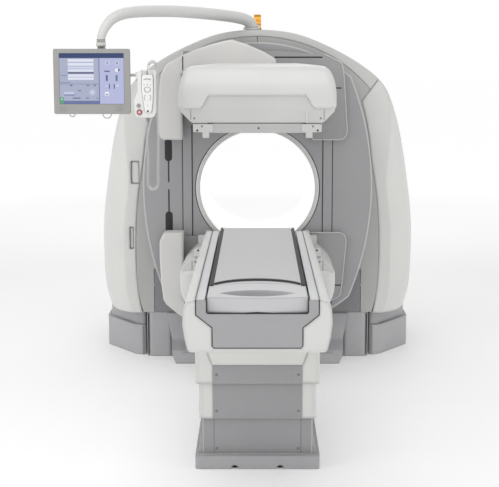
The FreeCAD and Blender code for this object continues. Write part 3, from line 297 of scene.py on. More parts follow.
def roundCorners(points, steps=6):  # (u, v) or (u, v, radius) corners to a closed list of points
    out = []
    for i, corner in enumerate(points):
        here = Vector(corner[:2])
        radius = corner[2] if len(corner) > 2 else 0.0
        if radius <= 0.0:
            out.append(here)
            continue
        back = (Vector(points[i - 1][:2]) - here).normalized()
        ahead = (Vector(points[(i + 1) % len(points)][:2]) - here).normalized()
        half = back.angle(ahead) / 2.0
        enter = here + back * (radius / math.tan(half))
        leave = here + ahead * (radius / math.tan(half))
        centre = here + (back + ahead).normalized() * (radius / math.sin(half))
        a0 = math.atan2(*(enter - centre).yx)
        a1 = math.atan2(*(leave - centre).yx)
        turn = (a1 - a0 + math.pi) % (2 * math.pi) - math.pi
        for k in range(steps + 1):
            a = a0 + turn * k / steps
            out.append(centre + Vector((math.cos(a), math.sin(a))) * radius)
    return out


def drawIn(points, amount):  # the corners moved inward by amount, their radii to match
    sign = bendSign(points)
    out = []
    for i, corner in enumerate(points):
        here = Vector(corner[:2])
        a = (here - Vector(points[i - 1][:2])).normalized()
        b = (Vector(points[(i + 1) % len(points)][:2]) - here).normalized()
        na, nb = Vector((-a.y, a.x)) * sign, Vector((-b.y, b.x)) * sign
        mid = (na + nb).normalized()
        here = here + mid * (amount / max(0.3, mid.dot(na)))
        if len(corner) > 2:
            outward = (a.x * b.y - a.y * b.x) * sign > 0  # a corner that sticks out loses radius, a hollow one gains
            radius = max(corner[2] - amount, 0.0004) if outward else corner[2] + amount
            out.append((here.x, here.y, radius))
        else:
            out.append((here.x, here.y))
    return out


def toSpace(plane, u, v, level):  # a point of an outline that stands in the xz plane or lies in the xy plane
    return Vector((u, level, v)) if plane == "xz" else Vector((u, v, level))


def slab(name, outline, plane, low, high, finish, body, slotName, lowRound=0.0, highRound=0.0, steps=4,
         cornerSteps=6):
    # an outline drawn through, with its rims rounded at the low and high ends
    rings = [(low, outline)] if lowRound <= 0.0 else []
    for k in range(steps + 1 if lowRound > 0.0 else 0):
        a = math.pi / 2 * (1 - k / steps)
        rings.append((low + lowRound * (1 - math.sin(a)), drawIn(outline, lowRound * (1 - math.cos(a)))))
    for k in range(steps + 1 if highRound > 0.0 else 0):
        a = math.pi / 2 * k / steps
        rings.append((high - highRound * (1 - math.sin(a)), drawIn(outline, highRound * (1 - math.cos(a)))))
    if highRound <= 0.0:
        rings.append((high, outline))
    rings = [(level, roundCorners(points, cornerSteps)) for level, points in rings]
    bm = bmesh.new()
    loops = [[bm.verts.new(toSpace(plane, p.x, p.y, level)) for p in pts] for level, pts in rings]
    n = len(loops[0])
    for lower, upper in zip(loops, loops[1:]):
        for i in range(n):
            bm.faces.new((lower[i], lower[(i + 1) % n], upper[(i + 1) % n], upper[i]))
    bm.faces.new(loops[0][::-1])
    bm.faces.new(loops[-1])
    return newPiece(name, bm, finish, body, slotName)


def softBox(name, low, high, radius, finish, body, slotName):
    bm = bmesh.new()
    bmesh.ops.create_cube(bm, size=1.0)
    for v in bm.verts:
        v.co = Vector([low[i] + (v.co[i] + 0.5) * (high[i] - low[i]) for i in range(3)])
    limit = min(high[i] - low[i] for i in range(3)) * 0.45
    bmesh.ops.bevel(bm, geom=bm.edges[:], offset=min(radius, limit), segments=3, profile=0.5, affect="EDGES")
    return newPiece(name, bm, finish, body, slotName)


def turned(name, profile, centre, axis, finish, body, slotName, steps=48, squash=(1.0, 1.0), closed=False):
    # profile: (radius, distance along the axis); squash stretches the two cross directions
    bm = bmesh.new()
    along = Vector(axis).normalized()
    side = Vector((1, 0, 0)) if abs(along.x) < 0.9 else Vector((0, 0, 1))
    side = (side - along * side.dot(along)).normalized()
    other = along.cross(side)
    centre = Vector(centre)
    rings = []
    for r, h in profile:
        if r < 1e-6:
            rings.append([bm.verts.new(centre + along * h)])
            continue
        rings.append([bm.verts.new(centre + along * h + side * (math.cos(2 * math.pi * k / steps) * r * squash[0])
                                   + other * (math.sin(2 * math.pi * k / steps) * r * squash[1]))
                      for k in range(steps)])
    pairs = list(zip(rings, rings[1:]))
    if closed:
        pairs.append((rings[-1], rings[0]))
    for a, b in pairs:
        for k in range(steps):
            k2 = (k + 1) % steps
            if len(a) == 1 and len(b) == 1:
                continue
            if len(a) == 1:
                bm.faces.new((a[0], b[k2], b[k]))
            elif len(b) == 1:
                bm.faces.new((a[k], a[k2], b[0]))
            else:
                bm.faces.new((a[k], a[k2], b[k2], b[k]))
    return newPiece(name, bm, finish, body, slotName)


def ribbon(name, points, radius, finish, body, slotName, cyclic=False):
    # a rounded bead that follows a line, as a mesh
    data = bpy.data.curves.new(name + "Line", "CURVE")
    data.dimensions = "3D"
    data.bevel_depth = radius
    data.bevel_resolution = 2
    data.use_fill_caps = True
    spline = data.splines.new("POLY")
    spline.points.add(len(points) - 1)
    for p, q in zip(spline.points, points):
        p.co = (*q, 1.0)
    spline.use_cyclic_u = cyclic
    holder = bpy.data.objects.new(name + "Line", data)
    scene.collection.objects.link(holder)
    bpy.context.view_layer.update()
    mesh = bpy.data.meshes.new_from_object(holder.evaluated_get(bpy.context.evaluated_depsgraph_get()))
    bpy.data.objects.remove(holder)
    bm = bmesh.new()
    bm.from_mesh(mesh)
    bpy.data.meshes.remove(mesh)
    return newPiece(name, bm, finish, body, slotName, 50.0)


bothSides = ((-1, "Left"), (1, "Right"))
# the moving body and the name of a colour slot, passed along with a small piece
onGantry = ("gantry", "cover_white")
onRotor = ("rotor", "plate_grey")
onArm = ("arm", "cover_white")
onMount = ("monitor_mount", "cover_white")
onBezel = ("monitor", "bezel_grey")
onScreen = ("monitor", "screen_blue")
onStrip = ("pallet", "strip_dark")
onPallet = ("pallet", "pallet_grey")
onSilver = ("table_top", "silver_cover")
onBeacon = ("gantry", "amber")
alongY, alongZ = (0, 1, 0), (0, 0, 1)   # axes of turned pieces: into the machine, and up


def spanX(a, b, y0, y1, z0, z1):  # low and high corners of a box between two x values in either order
    return (min(a, b), y0, z0), (max(a, b), y1, z1)


# curly cord of the hand controller
cordSet = {
    "wire": 0.0044,      # sheath diameter
    "coil": 0.0176,      # outer diameter of the coil
    "pitch": 0.0125,     # advance for each turn, stretched by its own weight
    "turnPoints": 12,
    "lead": 0.030,       # straight lead at each end
}
cordRoute = [
    (-0.576, -1.420, 1.737), (-0.577, -1.421, 1.797), (-0.521, -1.492, 1.812), (-0.512, -1.500, 1.712),
    (-0.519, -1.503, 1.560), (-0.513, -1.508, 1.400), (-0.520, -1.502, 1.250), (-0.518, -1.498, 1.146),
    (-0.583, -1.418, 1.138), (-0.577, -1.408, 1.290), (-0.584, -1.404, 1.420), (-0.580, -1.406, 1.514),
]


def nurbsLine(name, points):
    data = bpy.data.curves.new(name, "CURVE")
    data.dimensions = "3D"
    spline = data.splines.new("NURBS")
    spline.points.add(len(points) - 1)
    for p, q in zip(spline.points, points):
        p.co = (*q, 1.0)
    spline.order_u = 3
    spline.use_endpoint_u = True
    data.resolution_u = 12
    return data


def evenPoints(data, step):  # points read from the smooth route, step metres apart
    holder = bpy.data.objects.new("cordRoute", data)
    scene.collection.objects.link(holder)
    bpy.context.view_layer.update()
    mesh = bpy.data.meshes.new_from_object(holder)
    raw = [v.co.copy() for v in mesh.vertices]
    bpy.data.meshes.remove(mesh)
    bpy.data.objects.remove(holder)
    out = [raw[0]]
    left = step
    for a, b in zip(raw, raw[1:]):
        length = (b - a).length
        done = 0.0
        while length - done >= left:
            done += left
            out.append(a.lerp(b, done / length))
            left = step
        left -= length - done
    out.append(raw[-1])
    return out


stepLength = cordSet["pitch"] / cordSet["turnPoints"]
linePoints = evenPoints(nurbsLine("cordRoute", cordRoute), stepLength)
leadCount = int(cordSet["lead"] / stepLength)
coilRadius = (cordSet["coil"] - cordSet["wire"]) / 2.0
helix = []
normal = Vector((1, 0, 0))
for i, p in enumerate(linePoints):
    ahead = linePoints[min(i + 1, len(linePoints) - 1)] - linePoints[max(i - 1, 0)]
    ahead.normalize()
    normal = (normal - ahead * normal.dot(ahead)).normalized()
    sideways = ahead.cross(normal)
    fromEnd = min(i, len(linePoints) - 1 - i)
    if fromEnd < leadCount and fromEnd % cordSet["turnPoints"]:
        continue
    grow = min(1.0, max(0.0, (fromEnd - leadCount) / (2.0 * cordSet["turnPoints"])))
    turn = 2 * math.pi * i / cordSet["turnPoints"]
    helix.append(p + (normal * math.cos(turn) + sideways * math.sin(turn)) * coilRadius * grow)
cordData = nurbsLine("controllerCordWire", helix)
cordData.resolution_u = 2
cordData.bevel_depth = cordSet["wire"] / 2.0
cordData.bevel_resolution = 1
cordData.use_fill_caps = True
cordData.materials.append(finishOf("polyurethaneSheath"))
cord = bpy.data.objects.new("curlyCord", cordData)
scene.collection.objects.link(cord)
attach(cord, "monitor_mount")
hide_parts("controller_cord")

# light and floor
lightSet = {
    "sky": 0.62,                                              # white studio walls
    "top": dict(place=(-0.6, -2.8, 5.4), size=5.0, power=85.0, aim=(0, -0.8, 0.8)),
    "left": dict(place=(-5.0, -4.6, 3.4), size=3.2, power=56.0, aim=(0, -0.8, 1.0)),
    "right": dict(place=(5.2, -5.0, 2.6), size=3.2, power=37.0, aim=(0, -0.8, 1.0)),
    "back": dict(place=(0.0, 5.2, 4.2), size=4.0, power=40.0, aim=(0, 0.3, 1.0)),
}
world = bpy.data.worlds.new("whiteStudio")
scene.world = world
world.use_nodes = True
world.node_tree.nodes.clear()
worldOut = addNode(world.node_tree, "ShaderNodeOutputWorld")
rays = addNode(world.node_tree, "ShaderNodeLightPath")
ambient = addNode(world.node_tree, "ShaderNodeBackground", {">Color": (1, 1, 1, 1), ">Strength": lightSet["sky"]})
seen = addNode(world.node_tree, "ShaderNodeBackground", {">Color": (1, 1, 1, 1), ">Strength": 1.0})
blend = addNode(world.node_tree, "ShaderNodeMixShader")
world.node_tree.links.new(rays.outputs["Is Camera Ray"], blend.inputs[0])
world.node_tree.links.new(ambient.outputs[0], blend.inputs[1])
world.node_tree.links.new(seen.outputs[0], blend.inputs[2])
world.node_tree.links.new(blend.outputs[0], worldOut.inputs["Surface"])
for name in ("top", "left", "right", "back"):
    spec = lightSet[name]
    data = bpy.data.lights.new("softbox_" + name, "AREA")
    data.shape = "SQUARE"
    data.size = spec["size"]
    data.energy = spec["power"]
    lamp = bpy.data.objects.new("softbox_" + name, data)
    lamp.location = spec["place"]
    lamp.rotation_euler = (Vector(spec["aim"]) - Vector(spec["place"])).to_track_quat("-Z", "Y").to_euler()
    scene.collection.objects.link(lamp)

floorSet = {"hue": "#F6F6F6", "near": 0.15, "far": 0.42, "nearRadius": 3.2, "farRadius": 9.0}


def makeFloor():  # matt white studio vinyl, lit up towards its far edge so that it runs into the white room
    tree, output = openMaterial("mattStudioVinyl")
    r, g, b, a = linear(floorSet["hue"])
    place = addNode(tree, "ShaderNodeTexCoord")
    away = addNode(tree, "ShaderNodeVectorMath", {"operation": "LENGTH"})
    tree.links.new(place.outputs["Object"], away.inputs[0])
    glow = addNode(tree, "ShaderNodeMapRange", {">From Min": floorSet["nearRadius"],
                                                ">From Max": floorSet["farRadius"],
                                                ">To Min": floorSet["near"], ">To Max": floorSet["far"]},
                   {"Value": away.outputs["Value"]})
    cloud = addNode(tree, "ShaderNodeTexNoise", {">Scale": 1.0, ">Detail": 2.0},
                    {"Vector": mapped(tree, 900.0).outputs["Vector"]})
    tint = addNode(tree, "ShaderNodeValToRGB", None, {"Fac": cloud.outputs["Fac"]})
    tint.color_ramp.elements[0].color = (r * 0.985, g * 0.985, b * 0.985, 1)
    tint.color_ramp.elements[1].color = (r, g, b, 1)
    shader = addNode(tree, "ShaderNodeBsdfPrincipled",
                     {">IOR": 1.45, ">Roughness": 0.6, ">Emission Color": (1, 1, 1, 1)},
                     {"Base Color": tint.outputs["Color"], "Emission Strength": glow.outputs["Result"]})
    tree.links.new(shader.outputs["BSDF"], output.inputs["Surface"])


makeFloor()
floorMesh = bmesh.new()
for x, y in ((-60, -40), (60, -40), (60, 90), (-60, 90)):
    floorMesh.verts.new((x, y, -0.0005))
floorMesh.verts.ensure_lookup_table()
floorMesh.faces.new(floorMesh.verts[:])
floor = newPiece("studioFloor", floorMesh, "mattStudioVinyl", None, None)
print("camera, cord, light and floor ready")

# finishes of the carried CAD nodes
makeDisplay("litDisplay", "#AFB5CC", 0.82)
makeAmberLens()
nodeFinish = {
    "mouldedAbsArch": ["arch_cover"],
    "mouldedAbsCover": ["side_cover_left", "side_cover_right", "rear_cover", "column_lower",
                        "column_middle", "column_top", "arm_post", "monitor_yoke"],
    "paintedGlowAbsLiner": ["bore_liner"],
    "mouldedAbsArm": ["monitor_arm"],
    "mouldedAbsTable": ["table_body"],
    "mouldedAbsHead": ["head_shell_upper", "head_shell_lower"],
    "mouldedAbsHeadBody": ["head_body_upper", "head_body_lower"],
    "mouldedAbsTray": ["table_tray"],
    "mouldedAbsGrip": ["pallet_end_cap"],
    "texturedAbsShoe": ["plinths", "toe_plate", "floor_duct"],
    "texturedAbsBase": ["table_base_cover"],
    "powderCoatPanel": ["front_panels"],
    "powderCoatPlate": ["rotor_plate", "guide_rails"],
    "powderCoatDark": ["front_panel_lower"],
    "powderCoatRim": ["rotor_rim"],
    "powderCoatCarriage": ["carriage_box_upper", "carriage_box_lower"],
    "powderCoatCarriagePlate": ["carriage_plate_upper", "carriage_plate_lower"],
    "silverPaintCover": ["front_cover"],
    "primedSteel": ["base_frame", "stator_frame", "ct_stator_ring", "table_floor_plate", "drive_motor"],
    "blastedAluminium": ["collimator_upper", "collimator_lower"],
    "satinLaminate": ["pallet_deck"],
    "nitrileStrip": ["pallet_strips"],
    "mattBlackAbs": ["beacon_base"],
    "amberPolycarbonate": ["beacon_lens"],
    "mouldedPcBezel": ["monitor_housing"],
    "mouldedPcKey": ["button_grey"],
    "redPcRing": ["button_red"],
    "whitePcHandset": ["hand_controller"],
    "whitePcHolder": ["controller_holder"],
    "litDisplay": ["monitor_screen"],
    "groundSteel": ["bearing_outer", "drive_roller", "rotor_hub", "ct_rotor_ring", "xray_tube",
                    "ct_detector", "lift_tube_lower", "lift_tube_middle", "lift_tube_upper", "monitor_loops"],
}
for finish, names in nodeFinish.items():
    for name in names:
        materials = nodesByName[name].data.materials
        materials.clear()
        materials.append(finishOf(finish))

# detector heads
isoZ = 1.063   # height of the middle of the bore
# name, height of the collimator face, and the way the head points
headPlaces = (("upper", isoZ + 0.359, 1), ("lower", isoZ - 0.270, -1))
headSet = {
    "front": -1.238, "back": -0.7055,
    "wall": 0.016,          # depth of the shell's rolled lower rim
    "lip": 0.012,           # how far the body stands behind the shell
    "cornerRound": 0.048,   # plan radius of the front corners
    "rimSteps": 5, "levelSteps": 16, "roundSteps": 120,
    # half width and setback of the front at each level above the face
    "profile": [(0.128, 0.4270, 0.000), (0.170, 0.4290, 0.000), (0.205, 0.4288, 0.000), (0.235, 0.4268, 0.002),
                (0.262, 0.4225, 0.008), (0.288, 0.4165, 0.020), (0.312, 0.4080, 0.036), (0.333, 0.3970, 0.054),
                (0.348, 0.3830, 0.074), (0.358, 0.3640, 0.098), (0.366, 0.3200, 0.150), (0.371, 0.2300, 0.215)],
}


def lowerEdge(x):  # level of the shell's lower edge across the front: a raised middle with soft shoulders
    share = min(1.0, max(0.0, (abs(x) - 0.262) / 0.046))
    share = share * share * (3 - 2 * share)
    return 0.198 - 0.070 * share


def headAt(level):  # half width and setback read off the profile
    rows = headSet["profile"]
    if level <= rows[0][0]:
        return rows[0][1:]
    for a, b in zip(rows, rows[1:]):
        if level <= b[0]:
            t = (level - a[0]) / (b[0] - a[0])
            return a[1] + (b[1] - a[1]) * t, a[2] + (b[2] - a[2]) * t
    return rows[-1][1:]


def planPoint(s, half, setback, grow=0.0):
    # s from 0 at the left back edge, round the front, to 1 at the right back edge
    front, back, c = headSet["front"] + setback - grow, headSet["back"], headSet["cornerRound"]
    w = half + grow
    runs = [back - front - c, math.pi / 2 * c, 2 * (w - c), math.pi / 2 * c, back - front - c]
    d = s * sum(runs)
    if d <= runs[0]:
        return -w, back - d
    d -= runs[0]
    if d <= runs[1]:
        a = d / c
        return -w + c - c * math.cos(a), front + c - c * math.sin(a)
    d -= runs[1]
    if d <= runs[2]:
        return -w + c + d, front
    d -= runs[2]
    if d <= runs[3]:
        a = d / c
        return w - c + c * math.sin(a), front + c - c * math.cos(a)
    return w, front + c + (d - runs[3])


def gridPiece(name, rows, finish, body, slotName):
    # rows of points joined into a skin, closed at the top and the back
    bm = bmesh.new()
    made = [[bm.verts.new(p) for p in row] for row in rows]
    for lower, upper in zip(made, made[1:]):
        for k in range(len(lower) - 1):
            bm.faces.new((lower[k], lower[k + 1], upper[k + 1], upper[k]))
    bm.faces.new(made[-1])
    bm.faces.new([row[0] for row in made] + [row[-1] for row in made[::-1]])
    return newPiece(name, bm, finish, body, slotName)


for which, faceZ, sign in headPlaces:
    body = "carriage_" + which
    plain, dark, light = (("mouldedAbsHeadBody", body, "head_white"), ("mattBlackAbs", body, "head_white"),
                          ("mouldedAbsHead", body, "head_white"))
    seam = ("seamGasket", body, "head_white")
    count, wall = headSet["roundSteps"], headSet["wall"]
    half, setback = headAt(0.150)
    rows = []
    for k in range(headSet["rimSteps"] + 1):  # rolled rim: from the hidden inner edge out to the face of the shell
        a = math.pi / 2 * k / headSet["rimSteps"]
        row = []
        for i in range(count + 1):
            x, y = planPoint(i / count, half, setback, -wall * (1 - math.sin(a)))
            row.append((x, y, faceZ + sign * (lowerEdge(x) + wall * (1 - math.cos(a)))))
        rows.append(row)
    for k in range(1, headSet["levelSteps"] + 1):
        row = []
        for i in range(count + 1):
            start = lowerEdge(planPoint(i / count, half, setback)[0]) + wall
            level = start + (0.371 - start) * (k / headSet["levelSteps"])
            row.append((*planPoint(i / count, *headAt(level)), faceZ + sign * level))
        rows.append(row)
    shell = gridPiece("headShell_" + which, rows, *light)
    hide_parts("head_shell_" + which)
    front = headSet["front"] + headSet["lip"]
    outline = [(-0.421, 0.140, 0.006), (-0.417, 0.116, 0.012), (-0.366, 0.064, 0.014), (-0.348, 0.052, 0.008),
               (0.348, 0.052, 0.008), (0.366, 0.064, 0.014), (0.417, 0.116, 0.012), (0.421, 0.140, 0.006),
               (0.300, 0.142, 0.010), (0.262, 0.208, 0.010), (-0.262, 0.208, 0.010), (-0.300, 0.142, 0.010)]
    lowBody = slab("headBody_" + which, [(x, faceZ + sign * z, q) for x, z, q in outline], "xz", front,
                   headSet["back"], *plain, lowRound=0.005)
    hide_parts("head_body_" + which)
    for side, sideName in bothSides:
        tag = which + sideName
        bracket = [(0.240, 0.003, 0.004), (0.262, 0.003, 0.002), (0.262, -0.027, 0.004), (0.298, -0.027, 0.006),
                   (0.298, 0.003, 0.002), (0.348, 0.006, 0.004), (0.348, 0.050, 0.003), (0.240, 0.050, 0.003)]
        slab("headLug_" + tag, [(side * x, faceZ + sign * z, q) for x, z, q in bracket], "xz", front - 0.004,
             front + 0.034, *plain, lowRound=0.002)
        rear = [(0.2785, -0.027, 0.004), (0.303, -0.027, 0.004), (0.303, 0.0, 0.002), (0.347, 0.0, 0.002),
                (0.347, 0.0525, 0.002), (0.2785, 0.0525, 0.002)]
        slab("headLugRear_" + tag, [(side * x, faceZ + sign * z, q) for x, z, q in rear], "xz",
             headSet["back"] - 0.060, headSet["back"] - 0.022, *plain, lowRound=0.002)
        for k, (x, w) in enumerate(((0.342, 0.079), (0.300, 0.036), (0.326, 0.014))):
            turned("headScrew_%s_%d" % (tag, k),
                   [(0, 0.0), (0.0030, 0.0), (0.0058, 0.0012), (0.0064, 0.0042), (0.0064, 0.009)],
                   (side * x, front - (0.0052 if k else 0.0012), faceZ + sign * w), alongY,
                   "mattBlackAbs" if k == 2 else "zincPlate", body, "head_white", 20)
        for name, x0, x1, y, w0, w1, radius in (("headSideSeam_", 0.360, 0.360, front - 0.0002, 0.0705, 0.126,
                                                 0.0012),
                                                ("headSeam_", 0.347, 0.241, front - 0.0045, 0.0505, 0.0505, 0.0010)):
            ribbon(name + tag, [(side * x0, y, faceZ + sign * w0), (side * x1, y, faceZ + sign * w1)], radius, *seam)
    ribbon("headFaceSeam_" + which, [(x, front - 0.0002, faceZ + sign * 0.0535) for x in (-0.268, 0.262)], 0.0016,
           *dark)
    turned("headDot_" + which, [(0, 0.0), (0.005, 0.0), (0.0062, 0.001), (0.0062, 0.004)],
           (0.006, front - 0.0002, faceZ + sign * 0.026), alongY, *dark, 20)
    latchZ = faceZ + sign * 0.082
    softBox("headLatch_" + which, (0.262, front - 0.006, latchZ - 0.030), (0.272, front + 0.004, latchZ + 0.030),
            0.003, *light)
print("detector heads ready")

# carriages
carriageSet = {
    "rim": 0.0035, "plateFront": -0.7047, "plateBack": -0.6820, "boxFront": -0.820, "edge": 0.016,
    "lead": {"upper": 0.072, "lower": 0.010},   # how far the plate's foot runs past the collimator face
    "seam": {"upper": (1.752, 1.832), "lower": (0.330, 0.410)},
    "slots": {   # left end, right end, height, half width
        "upper": [(0.0994, 0.3755, 1.8260, 0.0042), (0.2631, 0.3759, 1.7751, 0.0042),
                  (0.4418, 0.4860, 1.6494, 0.0036)],
        "lower": [(0.4549, 0.4960, 0.4869, 0.0036), (0.0994, 0.3755, 0.3000, 0.0042)],
    },
}
boxOutlines = {
    "upper": [(-0.4325, 1.3560, 0.003), (-0.5560, 1.3560, 0.030), (-0.5710, 1.4000, 0.060), (-0.5710, 1.5300),
              (-0.5640, 1.6320), (-0.5520, 1.7300, 0.060), (-0.5200, 1.7880, 0.040), (-0.4787, 1.8120),
              (-0.4281, 1.8380),
              (-0.3378, 1.8770), (-0.2572, 1.9020), (-0.1902, 1.9190), (-0.1450, 1.9260, 0.02), (-0.0563, 1.8985),
              (0.0308, 1.8600), (0.0845, 1.8300), (0.1060, 1.8120, 0.010), (0.1180, 1.7300),
              (-0.4325, 1.7300, 0.002)],
    "lower": [(-0.4320, 0.8180, 0.003), (-0.5480, 0.8180, 0.036), (-0.5710, 0.7640, 0.060), (-0.5710, 0.6648),
              (-0.5640, 0.5212), (-0.5517, 0.4202), (-0.5357, 0.3913, 0.020), (-0.4970, 0.3587), (-0.4700, 0.3360),
              (-0.4281, 0.3090), (-0.3378, 0.2700), (-0.2572, 0.2440), (-0.1902, 0.2260), (-0.1450, 0.2200, 0.02),
              (-0.0563, 0.2470), (0.0308, 0.2850), (0.0845, 0.3160), (0.1060, 0.3340, 0.010), (0.1180, 0.4180),
              (-0.4320, 0.4180, 0.002)],
}
for which, faceZ, sign in headPlaces:
    onCarriage = ("carriage_" + which, "carriage_grey")
    lead = carriageSet["lead"][which]
    cover = slab("carriageCover_" + which, boxOutlines[which], "xz", carriageSet["boxFront"], -0.7052,
                 "powderCoatCarriage", *onCarriage, lowRound=carriageSet["edge"], steps=6)
    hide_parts("carriage_box_" + which)
    corners = [(0.306, 0.012), (0.306, -lead + 0.034, 0.010), (0.324, -lead, 0.012), (0.5180, -lead, 0.042),
               (0.5225, -lead + 0.060, 0.030), (0.501, 0.296, 0.040), (0.489, 0.371, 0.030),
               (0.396, 0.417, 0.040), (0.130, 0.440)]
    back = [(x, faceZ + sign * w, *q) for x, w, *q in corners + [(-0.4300, 0.440), (-0.4300, 0.012)]]
    plate = slab("carriagePlate_" + which, back, "xz", carriageSet["plateFront"], carriageSet["plateBack"],
                 "powderCoatCarriagePlate", *onCarriage, lowRound=0.0015)
    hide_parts("carriage_plate_" + which)
    ribbon("carriageRim_" + which,
           [(p.x, carriageSet["plateFront"], faceZ + sign * p.y) for p in roundCorners(corners)[:-1]],
           carriageSet["rim"], "powderCoatRim", *onCarriage)
    ribbon("carriageSeam_%s_0" % which, [(-0.4258, -0.8206, z) for z in carriageSet["seam"][which]], 0.0030,
           "mattBlackAbs", *onCarriage)
    for k, (x0, x1, z, half) in enumerate(carriageSet["slots"][which]):
        softBox("carriageSlot_%s_%d" % (which, k), (x0, -0.7056, z - half), (x1, -0.7035, z + half), 0.0008,
                "mattBlackAbs", *onCarriage)
print("carriages ready")

# turning plate
plateSet = {"front": -0.669, "proud": 0.0008, "insert": 0.0078}   # face, how far inlays stand out, their depth
plateY = plateSet["front"]
for k, z in enumerate((1.287, 0.858)):
    corners = [(x, z + w, 0.0212) for x, w in ((-0.5445, -0.066), (-0.5015, -0.066), (-0.5015, 0.066),
                                               (-0.5445, 0.066))]
    slab("trackInsert_%d" % k, corners, "xz", plateY - plateSet["proud"], plateY + plateSet["insert"], "mattBlackAbs",
         *onRotor, lowRound=0.0006)
for k, (z0, z1) in enumerate(((0.9225, 1.055), (1.098, 1.2225))):
    softBox("trackLine_%d" % k, (-0.5272, plateY - plateSet["proud"], z0), (-0.5188, plateY + 0.003, z1), 0.0006,
            "mattBlackAbs", *onRotor)
for k, (x, half) in enumerate(((-0.4408, 0.0024), (-0.3843, 0.0032), (0.3843, 0.0028), (0.4408, 0.0024))):
    softBox("railGap_%d" % k, (x - half, plateY - 0.0024, 0.365), (x + half, plateY + 0.003, 1.761), 0.0006,
            "mattBlackAbs", *onRotor)
for k, (x0, x1, z) in enumerate(((0.093, 0.378, 1.827), (0.276, 0.378, 1.775), (0.446, 0.492, 1.648),
                                 (0.454, 0.506, 0.479))):
    softBox("ventInsert_%d" % k, (x0 + 0.0005, plateY + 0.0035, z - 0.0055),
            (x1 - 0.0005, plateY + plateSet["insert"], z + 0.0055), 0.001, "mattBlackAbs", *onRotor)
turned("boreLip", [(0.3395, -0.674), (0.3382, -0.671), (0.338, -0.668), (0.338, -0.6555), (0.3605, -0.6555),
                   (0.3605, -0.668),
                   (0.3590, -0.6725), (0.3560, -0.674)], (0, 0, isoZ), alongY, "powderCoatCarriage", *onGantry, 128,
       closed=True)
turned("boreSeam_0", [(0.3640, -0.6692), (0.3684, -0.6692), (0.3684, -0.6660), (0.3640, -0.6660)], (0, 0, isoZ),
       alongY,
       "seamGasket", *onRotor, 128, closed=True)
print("turning plate ready")

# table
tableSet = {"columnFront": -2.568, "bodyFront": -3.214}
# body, front face, half width, foot, top, height of the screws
fasciaRows = {
    "lower": ("gantry", tableSet["columnFront"], 0.2435, 0.064, 0.229, 0.0867),
    "middle": ("column_stage", tableSet["columnFront"] - 0.014, 0.1995, 0.232, 0.394, 0.2642),
    "top": ("table_top", tableSet["columnFront"] - 0.029, 0.1995, 0.397, 0.4775, 0.4347),
}
for tag, (body, y, half, z0, z1, screwZ) in fasciaRows.items():
    softBox("fascia_" + tag, (-half, y + 0.0001, z0), (half, y + 0.0019, z1), 0.0008, "powderCoatFascia", body,
            "cover_white")
    for side, hand in bothSides:
        if tag == "lower":
            softBox("fasciaLine_lower" + hand, (side * 0.1955 - 0.0008, y - 0.0004, z0),
                    (side * 0.1955 + 0.0008, y + 0.0012, z1), 0.0003, "seamGasket", body, "cover_white")
        turned("fasciaScrew_" + tag + hand,
               [(0, -0.0022), (0.003, -0.0022), (0.0058, -0.0012), (0.0066, 0.0006), (0.0066, 0.0018)],
               (side * 0.1835, y, screwZ), alongY, "zincPlate", body, "cover_white", 24)
for side, hand in bothSides:
    turned("baseNotch_" + hand, [(0, 0.0), (0.0175, 0.0), (0.0175, 0.004), (0, 0.004)],
           (side * 0.102, -2.582, 0.0182), alongY, "mattBlackAbs", *onGantry, 32)

bodyFront = tableSet["bodyFront"]
frontCoverEdge = [(-0.1765, 0.706, 0.010), (0.1765, 0.706, 0.010), (0.1765, 0.787, 0.006), (0.240, 0.838, 0.006),
                  (0.240, 0.893, 0.003), (0.2015, 0.893, 0.003), (0.2015, 0.841, 0.010), (-0.2015, 0.841, 0.010),
                  (-0.2015, 0.893, 0.003), (-0.240, 0.893, 0.003), (-0.240, 0.838, 0.006), (-0.1765, 0.787, 0.006)]
silver = slab("silverFrontCover", frontCoverEdge, "xz", bodyFront - 0.0035, bodyFront + 0.0045, "silverPaintCover",
              *onSilver, lowRound=0.003)
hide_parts("front_cover")
seamEdge = [(-0.2415, 0.8975), (-0.2415, 0.8372), (-0.1780, 0.7862), (-0.1780, 0.7130), (-0.1700, 0.7047),
            (0.1700, 0.7047), (0.1780, 0.7130), (0.1780, 0.7862), (0.2415, 0.8372), (0.2415, 0.8975)]
ribbon("frontCoverSeam", [(x, bodyFront + 0.0002, z) for x, z in seamEdge], 0.0026, "mattBlackAbs", *onSilver)
capSeam = roundCorners([(-0.2000, 0.9040), (-0.2000, 0.8425, 0.010), (-0.060, 0.8425), (0.0, 0.8465), (0.060, 0.8425),
                        (0.2000, 0.8425, 0.010), (0.2000, 0.9040)])
ribbon("capSeam", [(p.x, bodyFront + 0.0004, p.y) for p in capSeam], 0.0024, "mattBlackAbs", *onSilver)
for side, hand in bothSides:
    ribbon("trayLine" + hand, [(side * 0.2432, y, 0.8972) for y in (bodyFront + 0.012, -1.284)], 0.0013, "seamGasket",
           "table_top", "cover_white")
    softBox("palletEdge" + hand, *spanX(side * 0.1892, side * 0.1982, -2.946, -1.279, 0.9062, 0.9098), 0.0016,
            "nitrileStrip", *onStrip)
    softBox("palletLip" + hand, *spanX(side * 0.165, side * 0.186, -1.330, -1.279, 0.9098, 0.9125), 0.0012,
            "mouldedAbsTray", *onPallet)
bandSet = {"half": 0.1885, "side": -2.942, "crown": -2.816, "nearCrown": -2.896, "wide": 0.021}


def arcAcross(side, crown, count=32):  # points from left to right on the circle through both sides and the crown
    half, rise = bandSet["half"], crown - side
    radius = (half * half + rise * rise) / (2 * rise)
    swing = math.asin(half / radius)
    return [(radius * math.sin(swing * (2 * k / count - 1)), crown - radius + radius * math.cos(swing * (2 * k / count - 1)))
            for k in range(count + 1)]


